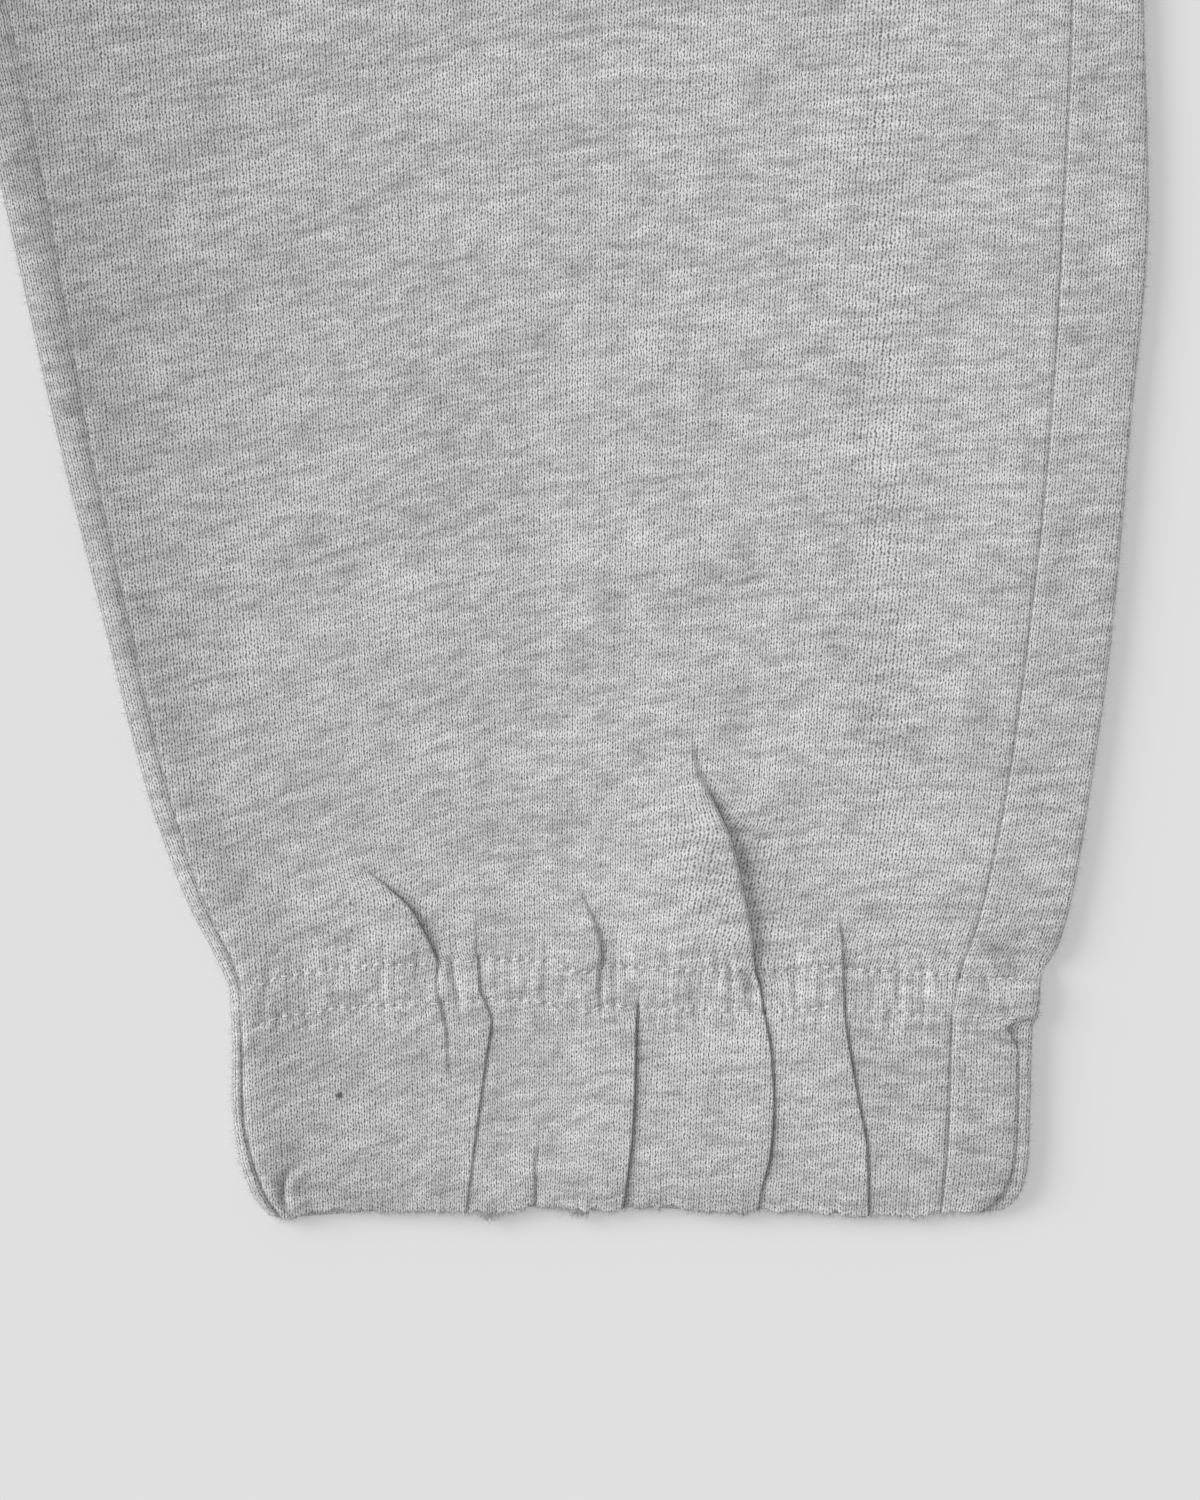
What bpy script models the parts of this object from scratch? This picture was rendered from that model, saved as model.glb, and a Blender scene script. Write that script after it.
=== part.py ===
"""Jogger sweatpants lying flat, front up, as five walls of cloth.

Each leg has a front piece and a back piece. The back lies on the table, rolls round the leg's outer fold and comes
up to the outseam on the front. The hem is the leg's own cloth turned up: a narrow elastic casing gathers it, and
the doubled cloth below stands as a frill. The waistband is one ring, gathered by its elastic.

Frame: +Y towards the waist, +Z up from the table, the origin under the middle of the garment. Every table and
size below is in millimetres. "Rise" is a distance above the hem's edge and "across" one from the garment's middle.
Both legs are worked out on the +X side, and the wearer's right leg is then mirrored.
"""

import math
from bisect import bisect_right
from typing import NamedTuple

import bmesh
import bpy

MM = 0.001

# Cloth
CLOTH = 1.4  # one layer of sweatshirt jersey
TURNED_UP = 2.4  # two layers, at the hem
BAND_WALL = 2.6  # two layers and the elastic, at the waist
SEAM_GAP = 0.3  # between two pieces, and between two layers

# Lengthwise stations
CASING_LOW = 33.5  # lower row of stitches
CASING_HIGH = 40.1  # upper row of stitches
CASING_MIDDLE = (CASING_LOW + CASING_HIGH) / 2
CROTCH = 700.0
WAIST_SEAM = 955.0
BAND_TOP = 1000.0
BACK_HEM_DROP = 1.3  # how far the back's hem shows below the front's
MIDDLE_RISE = (BAND_TOP - BACK_HEM_DROP) / 2

# Edges
EDGE_LOFT = 1.3  # extra height of the inseam, with its seam allowance folded in
ROLL_REACH = 3.2  # how far in from an edge the cloth has rolled level
ALLOWANCE_INSET = 6.2  # the seam allowance's ridge, in from the inseam
ALLOWANCE_WIDTH = 2.2
HEM_ROLL = 1.6
HEM_CORNER = 163.0  # where the hem's inseam corner ends
HEM_CORNER_REACH = 9.0
HEM_WAVE = 0.3
HEM_WAVE_FADES = 10.0


class Section(NamedTuple):
    """The leg's outline at one rise: the inseam's edge, the outseam on the front and the outer fold."""

    rise: float
    inseam: float
    outseam: float
    fold: float


SECTIONS = (
    Section(0, 159.4, 270.4, 281.9),
    Section(2, 157.4, 270.7, 283.0),
    Section(5, 156.0, 271.0, 283.7),
    Section(11, 154.6, 271.5, 284.7),
    Section(20, 153.6, 271.9, 285.3),
    Section(30, 153.5, 272.1, 285.6),
    Section(36, 152.9, 272.8, 286.4),
    Section(41, 151.7, 274.1, 286.7),
    Section(46, 148.6, 275.6, 288.9),
    Section(55, 144.9, 277.6, 292.1),
    Section(70, 139.9, 280.7, 294.9),
    Section(95, 133.0, 284.4, 298.7),
    Section(130, 124.2, 288.0, 302.4),
    Section(165, 116.3, 290.3, 304.6),
    Section(200, 108.0, 292.1, 303.9),
    Section(380, 69.0, 285.5, 297.5),
    Section(560, 31.0, 281.0, 293.5),
    Section(655, 11.0, 279.0, 292.0),
    Section(690, 2.6, 278.0, 291.0),
    Section(CROTCH, SEAM_GAP / 2, 277.5, 290.5),
    Section(790, SEAM_GAP / 2, 265.0, 278.0),
    Section(855, SEAM_GAP / 2, 244.5, 257.5),
    Section(905, SEAM_GAP / 2, 218.0, 230.5),
    Section(WAIST_SEAM, SEAM_GAP / 2, 177.5, 189.0),
)


class Loft(NamedTuple):
    """How high the front cloth stands off the back at one rise, in the middle of the leg."""

    rise: float
    height: float


LOFTS = (
    Loft(0, 0.7),
    Loft(17, 1.3),
    Loft(30, 1.0),
    Loft(37, 0.8),
    Loft(50, 1.7),
    Loft(80, 1.5),
    Loft(140, 0.9),
    Loft(400, 0.9),
    Loft(700, 1.3),
    Loft(900, 1.2),
    Loft(WAIST_SEAM, 1.6),
)


class Bow(NamedTuple):
    """How far the stitched casing runs above or below its level, at one place across."""

    across: float
    lift: float


BOWS = (
    Bow(150, -3.2),
    Bow(160, -1.2),
    Bow(173, 0.2),
    Bow(196, 1.5),
    Bow(212, 0.1),
    Bow(240, 0.0),
    Bow(262, -0.2),
    Bow(275, -1.2),
    Bow(288, -1.9),
)
BOW_FADES = 60.0  # how far above the casing the bow dies out


class Pleat(NamedTuple):
    """A large fold of the front at the hem: its crease's places across, and how high its lip stands.

    The places are at the pleat's top, at LEG_STATION, in the casing's middle, at FRILL_STATION and at HEM_STATION.
    The lip is on the inseam's side of the crease where facing is 1, and on the outseam's side where it is -1.
    """

    name: str
    facing: int
    at_top: float
    at_leg: float
    at_casing: float
    at_frill: float
    at_hem: float
    top: float  # rise at which it has died out
    leg_lip: float
    casing_lip: float
    frill_lip: float
    reach: float  # how wide its raised side is


LEG_STATION = 50.0
FRILL_STATION = 20.0
HEM_STATION = 2.0

LEFT_PLEATS = (
    Pleat("a", 1, 175.0, 183.6, 187.3, 189.5, 189.6, 60, 1.3, 0.5, 0.3, 9),
    Pleat("b", 1, 193.0, 193.6, 194.4, 195.0, 192.2, 48, 0.2, 0.6, 1.1, 8),
    Pleat("c", 1, 211.5, 212.9, 214.5, 213.4, 212.4, 56, 1.0, 0.5, 0.0, 7),
    Pleat("d", 1, 219.6, 220.6, 221.5, 220.0, 218.3, 44, 0.0, 0.4, 1.2, 9),
    Pleat("e", 1, 230.0, 239.4, 241.0, 243.3, 240.9, 82, 1.6, 0.9, 1.2, 12),
    Pleat("g", 1, 253.6, 254.0, 254.3, 256.6, 258.7, 52, 0.3, 0.6, 1.1, 9),
)

RIGHT_PLEATS = (
    Pleat("a", -1, 176.0, 174.0, 173.2, 174.6, 176.8, 57, 0.9, 0.5, 1.0, 8),
    Pleat("b", -1, 198.2, 196.4, 195.2, 193.8, 195.4, 74, 1.5, 0.8, 1.2, 11),
    Pleat("c", 1, 212.0, 212.4, 213.0, 214.4, 213.2, 46, 0.2, 0.5, 1.0, 8),
    Pleat("d", -1, 237.0, 233.0, 230.6, 229.0, 231.2, 88, 1.4, 0.8, 1.1, 10),
    Pleat("e", 1, 246.0, 247.2, 248.0, 249.6, 248.8, 54, 0.9, 0.5, 0.2, 7),
    Pleat("g", -1, 263.0, 261.6, 260.8, 262.4, 263.4, 50, 0.4, 0.6, 1.1, 8),
)

CREST_BACK = 1.3  # the lip's highest line, back from its crease
LIP_BACK = 0.15
FOOT_PAST = 0.25
DIP_SHARE = 0.3  # the trough past a crease, as a share of its lip
DIP_REACH = 3.0


class Gather(NamedTuple):
    """A small crease that the elastic draws in the casing, and how far it runs on above and below."""

    across: float
    depth: float
    up: float
    down: float


LEFT_GATHERS = (
    Gather(166.0, 0.65, 5, 4),
    Gather(173.3, 0.80, 9, 6),
    Gather(178.6, 0.72, 6, 9),
    Gather(200.0, 0.58, 7, 4),
    Gather(205.2, 0.87, 11, 8),
    Gather(217.6, 0.87, 8, 5),
    Gather(225.2, 0.72, 9, 7),
    Gather(230.7, 0.80, 6, 10),
    Gather(234.6, 0.87, 12, 5),
    Gather(246.4, 0.87, 8, 9),
    Gather(259.0, 0.80, 10, 6),
    Gather(263.4, 0.87, 7, 4),
    Gather(267.4, 0.72, 9, 8),
)

RIGHT_GATHERS = (
    Gather(163.5, 0.72, 8, 5),
    Gather(168.4, 0.65, 5, 8),
    Gather(180.0, 0.87, 10, 5),
    Gather(185.6, 0.72, 7, 9),
    Gather(190.2, 0.80, 12, 4),
    Gather(201.6, 0.87, 8, 7),
    Gather(206.8, 0.72, 6, 5),
    Gather(219.4, 0.87, 11, 8),
    Gather(224.6, 0.72, 8, 4),
    Gather(237.2, 0.80, 7, 9),
    Gather(242.4, 0.87, 10, 6),
    Gather(254.6, 0.72, 6, 7),
    Gather(267.0, 0.80, 9, 5),
)

GATHER_REACH = 1.3
CASING_GROOVE = 0.45  # depth of a stitched row
GROOVE_REACH = 0.9
CASING_SWELL = 0.35


class Ripple(NamedTuple):
    """A broad soft ridge of the leg, or a trough where its height is negative."""

    across: float
    rise: float
    length: float
    width: float
    lean: float  # degrees, from straight up towards the outseam
    height: float


LEFT_RIPPLES = (
    Ripple(226, 104, 46, 17, -14, 0.7),
    Ripple(186, 100, 50, 15, -6, 0.5),
    Ripple(254, 88, 34, 13, -4, 0.5),
    Ripple(204, 108, 44, 8, -4, -0.5),
    Ripple(198, 300, 120, 22, -8, 0.8),
    Ripple(140, 402, 90, 18, -36, 0.9),
    Ripple(222, 450, 100, 16, 24, -0.7),
    Ripple(92, 560, 90, 15, -52, 0.9),
    Ripple(70, 640, 80, 11, -62, 1.1),
    Ripple(104, 668, 95, 12, -74, 0.9),
    Ripple(210, 660, 120, 20, 12, 0.7),
    Ripple(66, 742, 80, 11, -108, 1.0),
    Ripple(150, 836, 90, 18, 10, 0.7),
)

RIGHT_RIPPLES = (
    Ripple(206, 110, 52, 14, 9, 0.7),
    Ripple(240, 98, 42, 16, 12, 0.6),
    Ripple(178, 94, 36, 11, -8, 0.5),
    Ripple(168, 300, 110, 20, -20, -0.7),
    Ripple(214, 380, 100, 18, 18, 0.9),
    Ripple(120, 448, 100, 17, -34, 0.8),
    Ripple(206, 560, 110, 20, 6, 0.7),
    Ripple(76, 604, 84, 12, -56, 1.0),
    Ripple(86, 664, 90, 11, -70, 1.0),
    Ripple(118, 700, 90, 13, -92, 0.8),
    Ripple(58, 760, 74, 11, -116, 0.9),
    Ripple(166, 812, 96, 18, -6, 0.7),
)

# Gathers under the waistband, on each front
WAIST_GATHERS = 13
WAIST_GATHER_DEPTH = 1.2
WAIST_GATHER_REACH = 3.4
WAIST_GATHERS_FADE = 862.0
WAIST_WANDER = 0.27  # how unevenly they are spaced, as a share of their spacing

# Waistband
BAND_HALF_WIDTH = 180.0
BAND_SIDE_REACH = 4.0
BAND_HEIGHT = 7.4  # its two layers lying flat
BAND_GATHERS = 38
BAND_GATHER_DEPTH = 1.0
BAND_ROLL = 1.8
BAND_LOWER_SPANS = 6
BAND_TURN_SPANS = 6

# Columns of the walls
EDGE_STEPS = (0.0, 0.5, 1.7, ROLL_REACH, ALLOWANCE_INSET, 9.4)
SEAM_STEP = 1.3  # last column before the outseam
GATHERED_STEP = 2.6
PLEATED_STEP = 6.0
PLAIN_COLUMNS = 14
INNER_COLUMNS = 7


class Run(NamedTuple):
    """A stretch of the wall's rows: up to which rise, in how many steps, and how its columns are laid."""

    to: float
    steps: int
    columns: str


RUNS = (
    Run(HEM_ROLL, 2, "pleated"),
    Run(28, 5, "pleated"),
    Run(CASING_LOW - GROOVE_REACH, 2, "gathered"),
    Run(CASING_LOW + GROOVE_REACH, 2, "gathered"),
    Run(CASING_HIGH - GROOVE_REACH, 2, "gathered"),
    Run(CASING_HIGH + GROOVE_REACH, 2, "gathered"),
    Run(47, 2, "gathered"),
    Run(86, 7, "pleated"),
    Run(200, 5, "plain"),
    Run(650, 11, "plain"),
    Run(CROTCH, 3, "plain"),
    Run(870, 5, "plain"),
    Run(925, 2, "waist"),
    Run(WAIST_SEAM - SEAM_GAP / 2, 3, "waist"),
)


def smooth_line(points):
    """Returns a function through points of (place, value), level past its ends and never overshooting."""
    places = [float(place) for place, _ in points]
    values = [float(value) for _, value in points]
    gaps = [b - a for a, b in zip(places, places[1:])]
    slopes = [(b - a) / gap for a, b, gap in zip(values, values[1:], gaps)]
    tangents = [slopes[0]]
    for index in range(1, len(slopes)):
        before, after = slopes[index - 1], slopes[index]
        if before * after <= 0.0:
            tangents.append(0.0)
            continue
        weight_before = 2.0 * gaps[index] + gaps[index - 1]
        weight_after = gaps[index] + 2.0 * gaps[index - 1]
        total = weight_before + weight_after
        tangents.append(total / (weight_before / before + weight_after / after))
    tangents.append(slopes[-1])

    def value_at(place):
        if place <= places[0]:
            return values[0]
        if place >= places[-1]:
            return values[-1]
        index = bisect_right(places, place) - 1
        gap = gaps[index]
        part = (place - places[index]) / gap
        rest = 1.0 - part
        start = values[index] * (1.0 + 2.0 * part) * rest**2
        end = values[index + 1] * part**2 * (3.0 - 2.0 * part)
        start_slope = tangents[index] * gap * part * rest**2
        end_slope = tangents[index + 1] * gap * part**2 * rest
        return start + end + start_slope - end_slope

    return value_at


def rolled(depth, radius):
    """Share of its full height that a rounded edge has reached at a depth in from it."""
    if depth >= radius:
        return 1.0
    return math.sqrt(1.0 - (1.0 - max(depth, 0.0) / radius) ** 2)


def bell(distance, reach):
    """A soft bump, 1 at no distance."""
    return math.exp(-((distance / reach) ** 2))


inseam_at = smooth_line([(s.rise, s.inseam) for s in SECTIONS])
outseam_at = smooth_line([(s.rise, s.outseam) for s in SECTIONS])
fold_at = smooth_line([(s.rise, s.fold) for s in SECTIONS])
loft_at = smooth_line(LOFTS)
bow_at = smooth_line(BOWS)
wall_at = smooth_line([(0, TURNED_UP), (CASING_HIGH, TURNED_UP), (CASING_HIGH + 4, CLOTH), (WAIST_SEAM, CLOTH)])
open_edge_at = smooth_line([(CROTCH - 10, 1.0), (CROTCH + 30, 0.0)])
bow_share_at = smooth_line([(0, 0.0), (CASING_LOW, 1.0), (CASING_HIGH, 1.0), (CASING_HIGH + BOW_FADES, 0.0)])


def stacked(rise):
    """Height of the back and the front lying on each other with no loft."""
    return 2.0 * wall_at(rise) + SEAM_GAP


def edge_level(rise):
    """Height at which the front and the back meet along the inseam."""
    return (stacked(rise) + EDGE_LOFT) / 2


def hem_offset(across, upper):
    """How far the hem's edge strays along the leg, on its upper layer at 1 and its lower at 0.

    The layers meet at the inseam's corner and at the outer fold.
    """
    inset = min(across - HEM_CORNER, fold_at(0.0) - ROLL_REACH - across)
    share = min(max(inset / HEM_CORNER_REACH, 0.0), 1.0)
    front = HEM_WAVE * math.sin(across * 0.17) * math.sin(across * 0.083 + 1.0)
    back = -BACK_HEM_DROP * (0.55 + 0.45 * math.sin(across * 0.17 + 0.6))
    return share * (upper * front + (1.0 - upper) * back)


class Crease:
    """One pleat with its smooth course and lip heights."""

    def __init__(self, pleat):
        self.pleat = pleat
        self.course = smooth_line(
            [
                (HEM_STATION, pleat.at_hem),
                (FRILL_STATION, pleat.at_frill),
                (CASING_MIDDLE, pleat.at_casing),
                (LEG_STATION, pleat.at_leg),
                (max(pleat.top, LEG_STATION + 8) + 1, pleat.at_top),
            ]
        )
        lips = [(0, pleat.frill_lip), (FRILL_STATION + 7, pleat.frill_lip), (CASING_MIDDLE, pleat.casing_lip)]
        if pleat.top > LEG_STATION:
            lips.append((LEG_STATION - 1, pleat.leg_lip))
        lips.append((pleat.top, 0.0))
        self.lip_at = smooth_line(lips)

    def height(self, across, rise):
        """Returns how far this pleat lifts or lowers the cloth at a place."""
        lip = self.lip_at(rise)
        if lip <= 0.0:
            return 0.0
        past = (across - self.course(rise)) * self.pleat.facing
        if past >= 0.0:
            return -DIP_SHARE * lip * math.exp(-past / DIP_REACH)
        behind = -past
        if behind < CREST_BACK:
            return lip * math.sqrt(1.0 - (0.85 * (1.0 - behind / CREST_BACK)) ** 2)
        return lip * bell(behind - CREST_BACK, self.pleat.reach)

    def columns(self, rise):
        """Returns the places across of its crest, its lip and its foot, in order."""
        offsets = (-CREST_BACK, -LIP_BACK, FOOT_PAST)
        course = self.course(rise)
        return sorted(course + offset * self.pleat.facing for offset in offsets)


class Leg:
    """One leg's shape, worked out on the +X side."""

    def __init__(self, name, mirror, pleats, gathers, ripples):
        self.name = name
        self.mirror = mirror
        self.creases = [Crease(pleat) for pleat in pleats]
        self.gathers = gathers
        self.gather_shares = [self._gather_share(gather) for gather in gathers]
        self.ripples = ripples

    def _gather_share(self, gather):
        """How strongly a gather shows along the leg."""
        return smooth_line(
            [
                (CASING_LOW - gather.down, 0.0),
                (CASING_LOW + 1.0, 1.0),
                (CASING_HIGH - 1.0, 1.0),
                (CASING_HIGH + gather.up, 0.0),
            ]
        )

    def anchors(self, rise):
        """Places across that every row of columns keeps: the edge, each pleat's three lines and the outseam."""
        start = inseam_at(rise)
        lines = [start + EDGE_STEPS[-1]]
        for crease in self.creases:
            lines.extend(crease.columns(rise))
        lines.append(outseam_at(rise) - SEAM_STEP)
        return lines

    def gather_places(self, rise):
        """Where each gather runs at a rise: it keeps its share of the span between its neighbours."""
        reference = self.anchors(CASING_MIDDLE)
        here = self.anchors(rise)
        places = []
        for gather in self.gathers:
            span = bisect_right(reference, gather.across) - 1
            share = (gather.across - reference[span]) / (reference[span + 1] - reference[span])
            places.append(here[span] + share * (here[span + 1] - here[span]))
        return places

    def gather_height(self, across, rise):
        """How far the gathers lower the cloth at a place."""
        if not CASING_LOW - 12 < rise < CASING_HIGH + 14:
            return 0.0
        total = 0.0
        for gather, share, place in zip(self.gathers, self.gather_shares, self.gather_places(rise)):
            distance = abs(across - place)
            if distance < 4 * GATHER_REACH:
                total -= gather.depth * share(rise) * math.exp(-((distance / GATHER_REACH) ** 1.4))
        return total

    def ripple_height(self, across, rise):
        """Sum of the broad ridges and troughs at a place."""
        total = 0.0
        for ripple in self.ripples:
            lean = math.radians(ripple.lean)
            aside, along = across - ripple.across, rise - ripple.rise
            lengthwise = along * math.cos(lean) + aside * math.sin(lean)
            crosswise = aside * math.cos(lean) - along * math.sin(lean)
            total += ripple.height * bell(lengthwise, ripple.length / 2) * bell(crosswise, ripple.width / 2)
        return total

    def plain_crown(self, across, rise):
        """Height of the front's upper face with its loft and broad ripples alone."""
        start, end = inseam_at(rise), fold_at(rise)
        share = min(max((across - start) / (end - start), 0.0), 1.0)
        loft = loft_at(rise) * math.sin(math.pi * share) ** 0.7 if rise < CROTCH else loft_at(rise)
        return stacked(rise) + max(0.0, loft + self.ripple_height(across, rise))

    def crown(self, across, rise):
        """Height of the front's upper face with every fold."""
        height = self.plain_crown(across, rise)
        inset = across - inseam_at(rise)
        height += EDGE_LOFT * open_edge_at(rise) * bell(inset - ALLOWANCE_INSET / 2, ALLOWANCE_INSET)
        height += 0.35 * open_edge_at(rise) * bell(inset - ALLOWANCE_INSET, ALLOWANCE_WIDTH)
        height += EDGE_LOFT * 0.8 * bell(fold_at(rise) - across, ALLOWANCE_INSET)
        height -= 0.3 * bell(across - outseam_at(rise), SEAM_STEP * 0.6)
        height += sum(crease.height(across, rise) for crease in self.creases)
        height += self.gather_height(across, rise)
        height -= CASING_GROOVE * (bell(rise - CASING_LOW, GROOVE_REACH) + bell(rise - CASING_HIGH, GROOVE_REACH))
        height += CASING_SWELL * bell(rise - CASING_MIDDLE, 2.4)
        if rise > WAIST_GATHERS_FADE:
            height += self.waist_gather_height(across, rise)
        return height

    def waist_gather_places(self, rise):
        """Where the folds under the waistband run at a rise."""
        start, end = inseam_at(rise), outseam_at(rise)
        spacing = (end - start) / WAIST_GATHERS
        wander = [WAIST_WANDER * math.sin(2.4 * index + (1.0 if self.mirror else 0.0)) for index in range(WAIST_GATHERS)]
        return [start + spacing * (index + 0.5 + wander[index]) for index in range(WAIST_GATHERS)]

    def waist_gather_height(self, across, rise):
        """How far the folds under the waistband lower the cloth."""
        share = (rise - WAIST_GATHERS_FADE) / (WAIST_SEAM - WAIST_GATHERS_FADE)
        inset = min(across - inseam_at(rise), outseam_at(rise) - across)
        share *= min(max(inset / WAIST_GATHER_REACH, 0.0), 1.0)
        dent = sum(bell(across - place, WAIST_GATHER_REACH) for place in self.waist_gather_places(rise))
        return WAIST_GATHER_DEPTH * share**1.5 * (0.5 - dent)

    def front_columns(self, rise, kind):
        """Returns the places across of one row of the front's outer face."""
        start = inseam_at(rise)
        end = outseam_at(rise) - SEAM_GAP / 2
        edge = [start + step for step in EDGE_STEPS[:-1]]
        if kind in ("pleated", "gathered"):
            reference = self.anchors(CASING_MIDDLE)
            here = self.anchors(rise)
            gathers = [gather.across for gather in self.gathers] if kind == "gathered" else []
            step = GATHERED_STEP if kind == "gathered" else PLEATED_STEP
            middle = []
            for low, high, a, b in zip(reference, reference[1:], here, here[1:]):
                shares = split_span(low, high, [g for g in gathers if low < g < high], step)
                middle.extend(a + share * (b - a) for share in shares)
            middle.append(here[-1])
        elif kind == "waist":
            marks = [start + EDGE_STEPS[-1]] + self.waist_gather_places(rise)[1:-1] + [end - SEAM_STEP]
            middle = []
            for a, b in zip(marks, marks[1:]):
                middle.extend(a + (b - a) * part / 3 for part in range(3))
            middle.append(marks[-1])
        else:
            low, high = start + EDGE_STEPS[-1], end - SEAM_STEP
            middle = [low + (high - low) * part / PLAIN_COLUMNS for part in range(PLAIN_COLUMNS + 1)]
        return edge + middle + [end]

    def point(self, across, rise, height, upper=1.0):
        """Returns a place on this leg as a point of the garment, in metres."""
        along = rise + bow_at(across) * bow_share_at(rise)
        along += max(0.0, 1.0 - rise / HEM_WAVE_FADES) * hem_offset(across, upper)
        sign = -1.0 if self.mirror else 1.0
        return (sign * across * MM, (along - MIDDLE_RISE) * MM, height * MM)


def split_span(low, high, marks, step):
    """Returns the shares at which a span is split, at its marks and about a step apart, its start included."""
    stops = [low] + marks + [high]
    shares = []
    for a, b in zip(stops, stops[1:]):
        parts = max(1, round((b - a) / step))
        shares.extend((a + (b - a) * part / parts - low) / (high - low) for part in range(parts))
    return shares


def wall_rows():
    """Returns each row's rise and the way its columns are laid, from the hem to the waist."""
    rows = [(0.0, RUNS[0].columns)]
    for run in RUNS:
        start = rows[-1][0]
        rows.extend((start + (run.to - start) * step / run.steps, run.columns) for step in range(1, run.steps + 1))
    return rows


def bridge(mesh, line_a, line_b):
    """Joins two lines of (mark, vertex) by triangles: in step if they are as long, and otherwise by their marks."""
    in_step = len(line_a) == len(line_b)
    a = b = 0
    while a < len(line_a) - 1 or b < len(line_b) - 1:
        more_a, more_b = a + 1 < len(line_a), b + 1 < len(line_b)
        if more_a and more_b:
            a_next = a <= b if in_step else line_a[a + 1][0] <= line_b[b + 1][0]
        else:
            a_next = more_a
        if a_next:
            mesh.faces.new((line_a[a][1], line_a[a + 1][1], line_b[b][1]))
            a += 1
        else:
            mesh.faces.new((line_a[a][1], line_b[b + 1][1], line_b[b][1]))
            b += 1


def cloth_object(name, outer, inner, closed, colour):
    """Builds a wall of cloth from its outer and inner faces and adds it to the scene.

    Each face is a list of rows of (mark, point), where the mark says how far round or across the wall the point is.
    A closed wall is a ring; an open one has side edges to close as well.
    """
    mesh = bmesh.new()
    outer_rows = [[(mark, mesh.verts.new(point)) for mark, point in row] for row in outer]
    inner_rows = [[(mark, mesh.verts.new(point)) for mark, point in row] for row in inner]
    if closed:
        for row in outer_rows + inner_rows:
            row.append((RING_END, row[0][1]))
    for low, high in zip(outer_rows, outer_rows[1:]):
        bridge(mesh, low, high)
    for low, high in zip(inner_rows, inner_rows[1:]):
        bridge(mesh, high, low)
    bridge(mesh, inner_rows[0], outer_rows[0])
    bridge(mesh, outer_rows[-1], inner_rows[-1])
    if not closed:
        bridge(mesh, [row[0] for row in outer_rows], [row[0] for row in inner_rows])
        bridge(mesh, [row[-1] for row in inner_rows], [row[-1] for row in outer_rows])
    bmesh.ops.recalc_face_normals(mesh, faces=mesh.faces)
    data = bpy.data.meshes.new(name)
    mesh.to_mesh(data)
    mesh.free()
    data.shade_smooth()
    data.set_sharp_from_angle(angle=math.radians(50))
    data.materials.append(jersey(name + "_jersey", colour))
    thing = bpy.data.objects.new(name, data)
    bpy.context.scene.collection.objects.link(thing)
    return thing


def jersey(name, colour):
    """Heather-grey cotton jersey: matt and soft."""
    material = bpy.data.materials.new(name)
    material.use_nodes = True
    shader = material.node_tree.nodes["Principled BSDF"]
    shader.inputs["Base Color"].default_value = (*colour, 1.0)
    shader.inputs["Roughness"].default_value = 0.92
    shader.inputs["Metallic"].default_value = 0.0
    return material


# Where the stretches of a back's section and of the waistband's ring begin, counted along them
LOWER, TURN, UPPER, FAR_TURN, RING_END = range(5)


def hem_rolled(height, middle, rise):
    """Draws a face's height in to the wall's middle where the hem's edge rounds off."""
    share = max(0.4, rolled(rise, HEM_ROLL))
    return middle + (height - middle) * share


def drawn_to_edge(height, seat, opening, inset, radius):
    """Draws a face's height to the seam's level where the inseam's edge rounds off, as far as the legs are open."""
    return height + (seat - height) * opening * (1.0 - rolled(inset, radius))


def build_front(leg):
    """Front of a leg: from the inseam's edge, or the middle seam above the crotch, to the outseam."""
    outer, inner = [], []
    rows = wall_rows()
    for rise, kind in rows:
        wall, opening = wall_at(rise), open_edge_at(rise)
        seat = edge_level(rise) + SEAM_GAP / 2
        start, end = inseam_at(rise), outseam_at(rise) - SEAM_GAP / 2
        columns = leg.front_columns(rise, kind)
        row = []
        for across in columns:
            middle = leg.plain_crown(across, rise) - wall / 2
            top = hem_rolled(leg.crown(across, rise), middle, rise)
            height = drawn_to_edge(top, seat, opening, across - start, ROLL_REACH)
            row.append((across, leg.point(across, rise, height)))
        outer.append(row)
        tuck = 0.9 * wall * opening
        steps = [start + tuck, start + tuck + 0.5, start + tuck + ROLL_REACH]
        low = steps[-1]
        if rise in (rows[0][0], rows[-1][0]):
            places = steps + [across for across in columns if across > low + SEAM_STEP]
        else:
            places = steps[:-1] + [low + (end - low) * part / INNER_COLUMNS for part in range(INNER_COLUMNS + 1)]
        row = []
        for across in places:
            crown = leg.plain_crown(across, rise)
            under = hem_rolled(crown - wall, crown - wall / 2, rise)
            height = drawn_to_edge(under, seat, opening, across - start - tuck, ROLL_REACH)
            row.append((across, leg.point(across, rise, height)))
        inner.append(row)
    return cloth_object("front_" + leg.name, outer, inner, False, (0.44, 0.45, 0.46))


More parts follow.
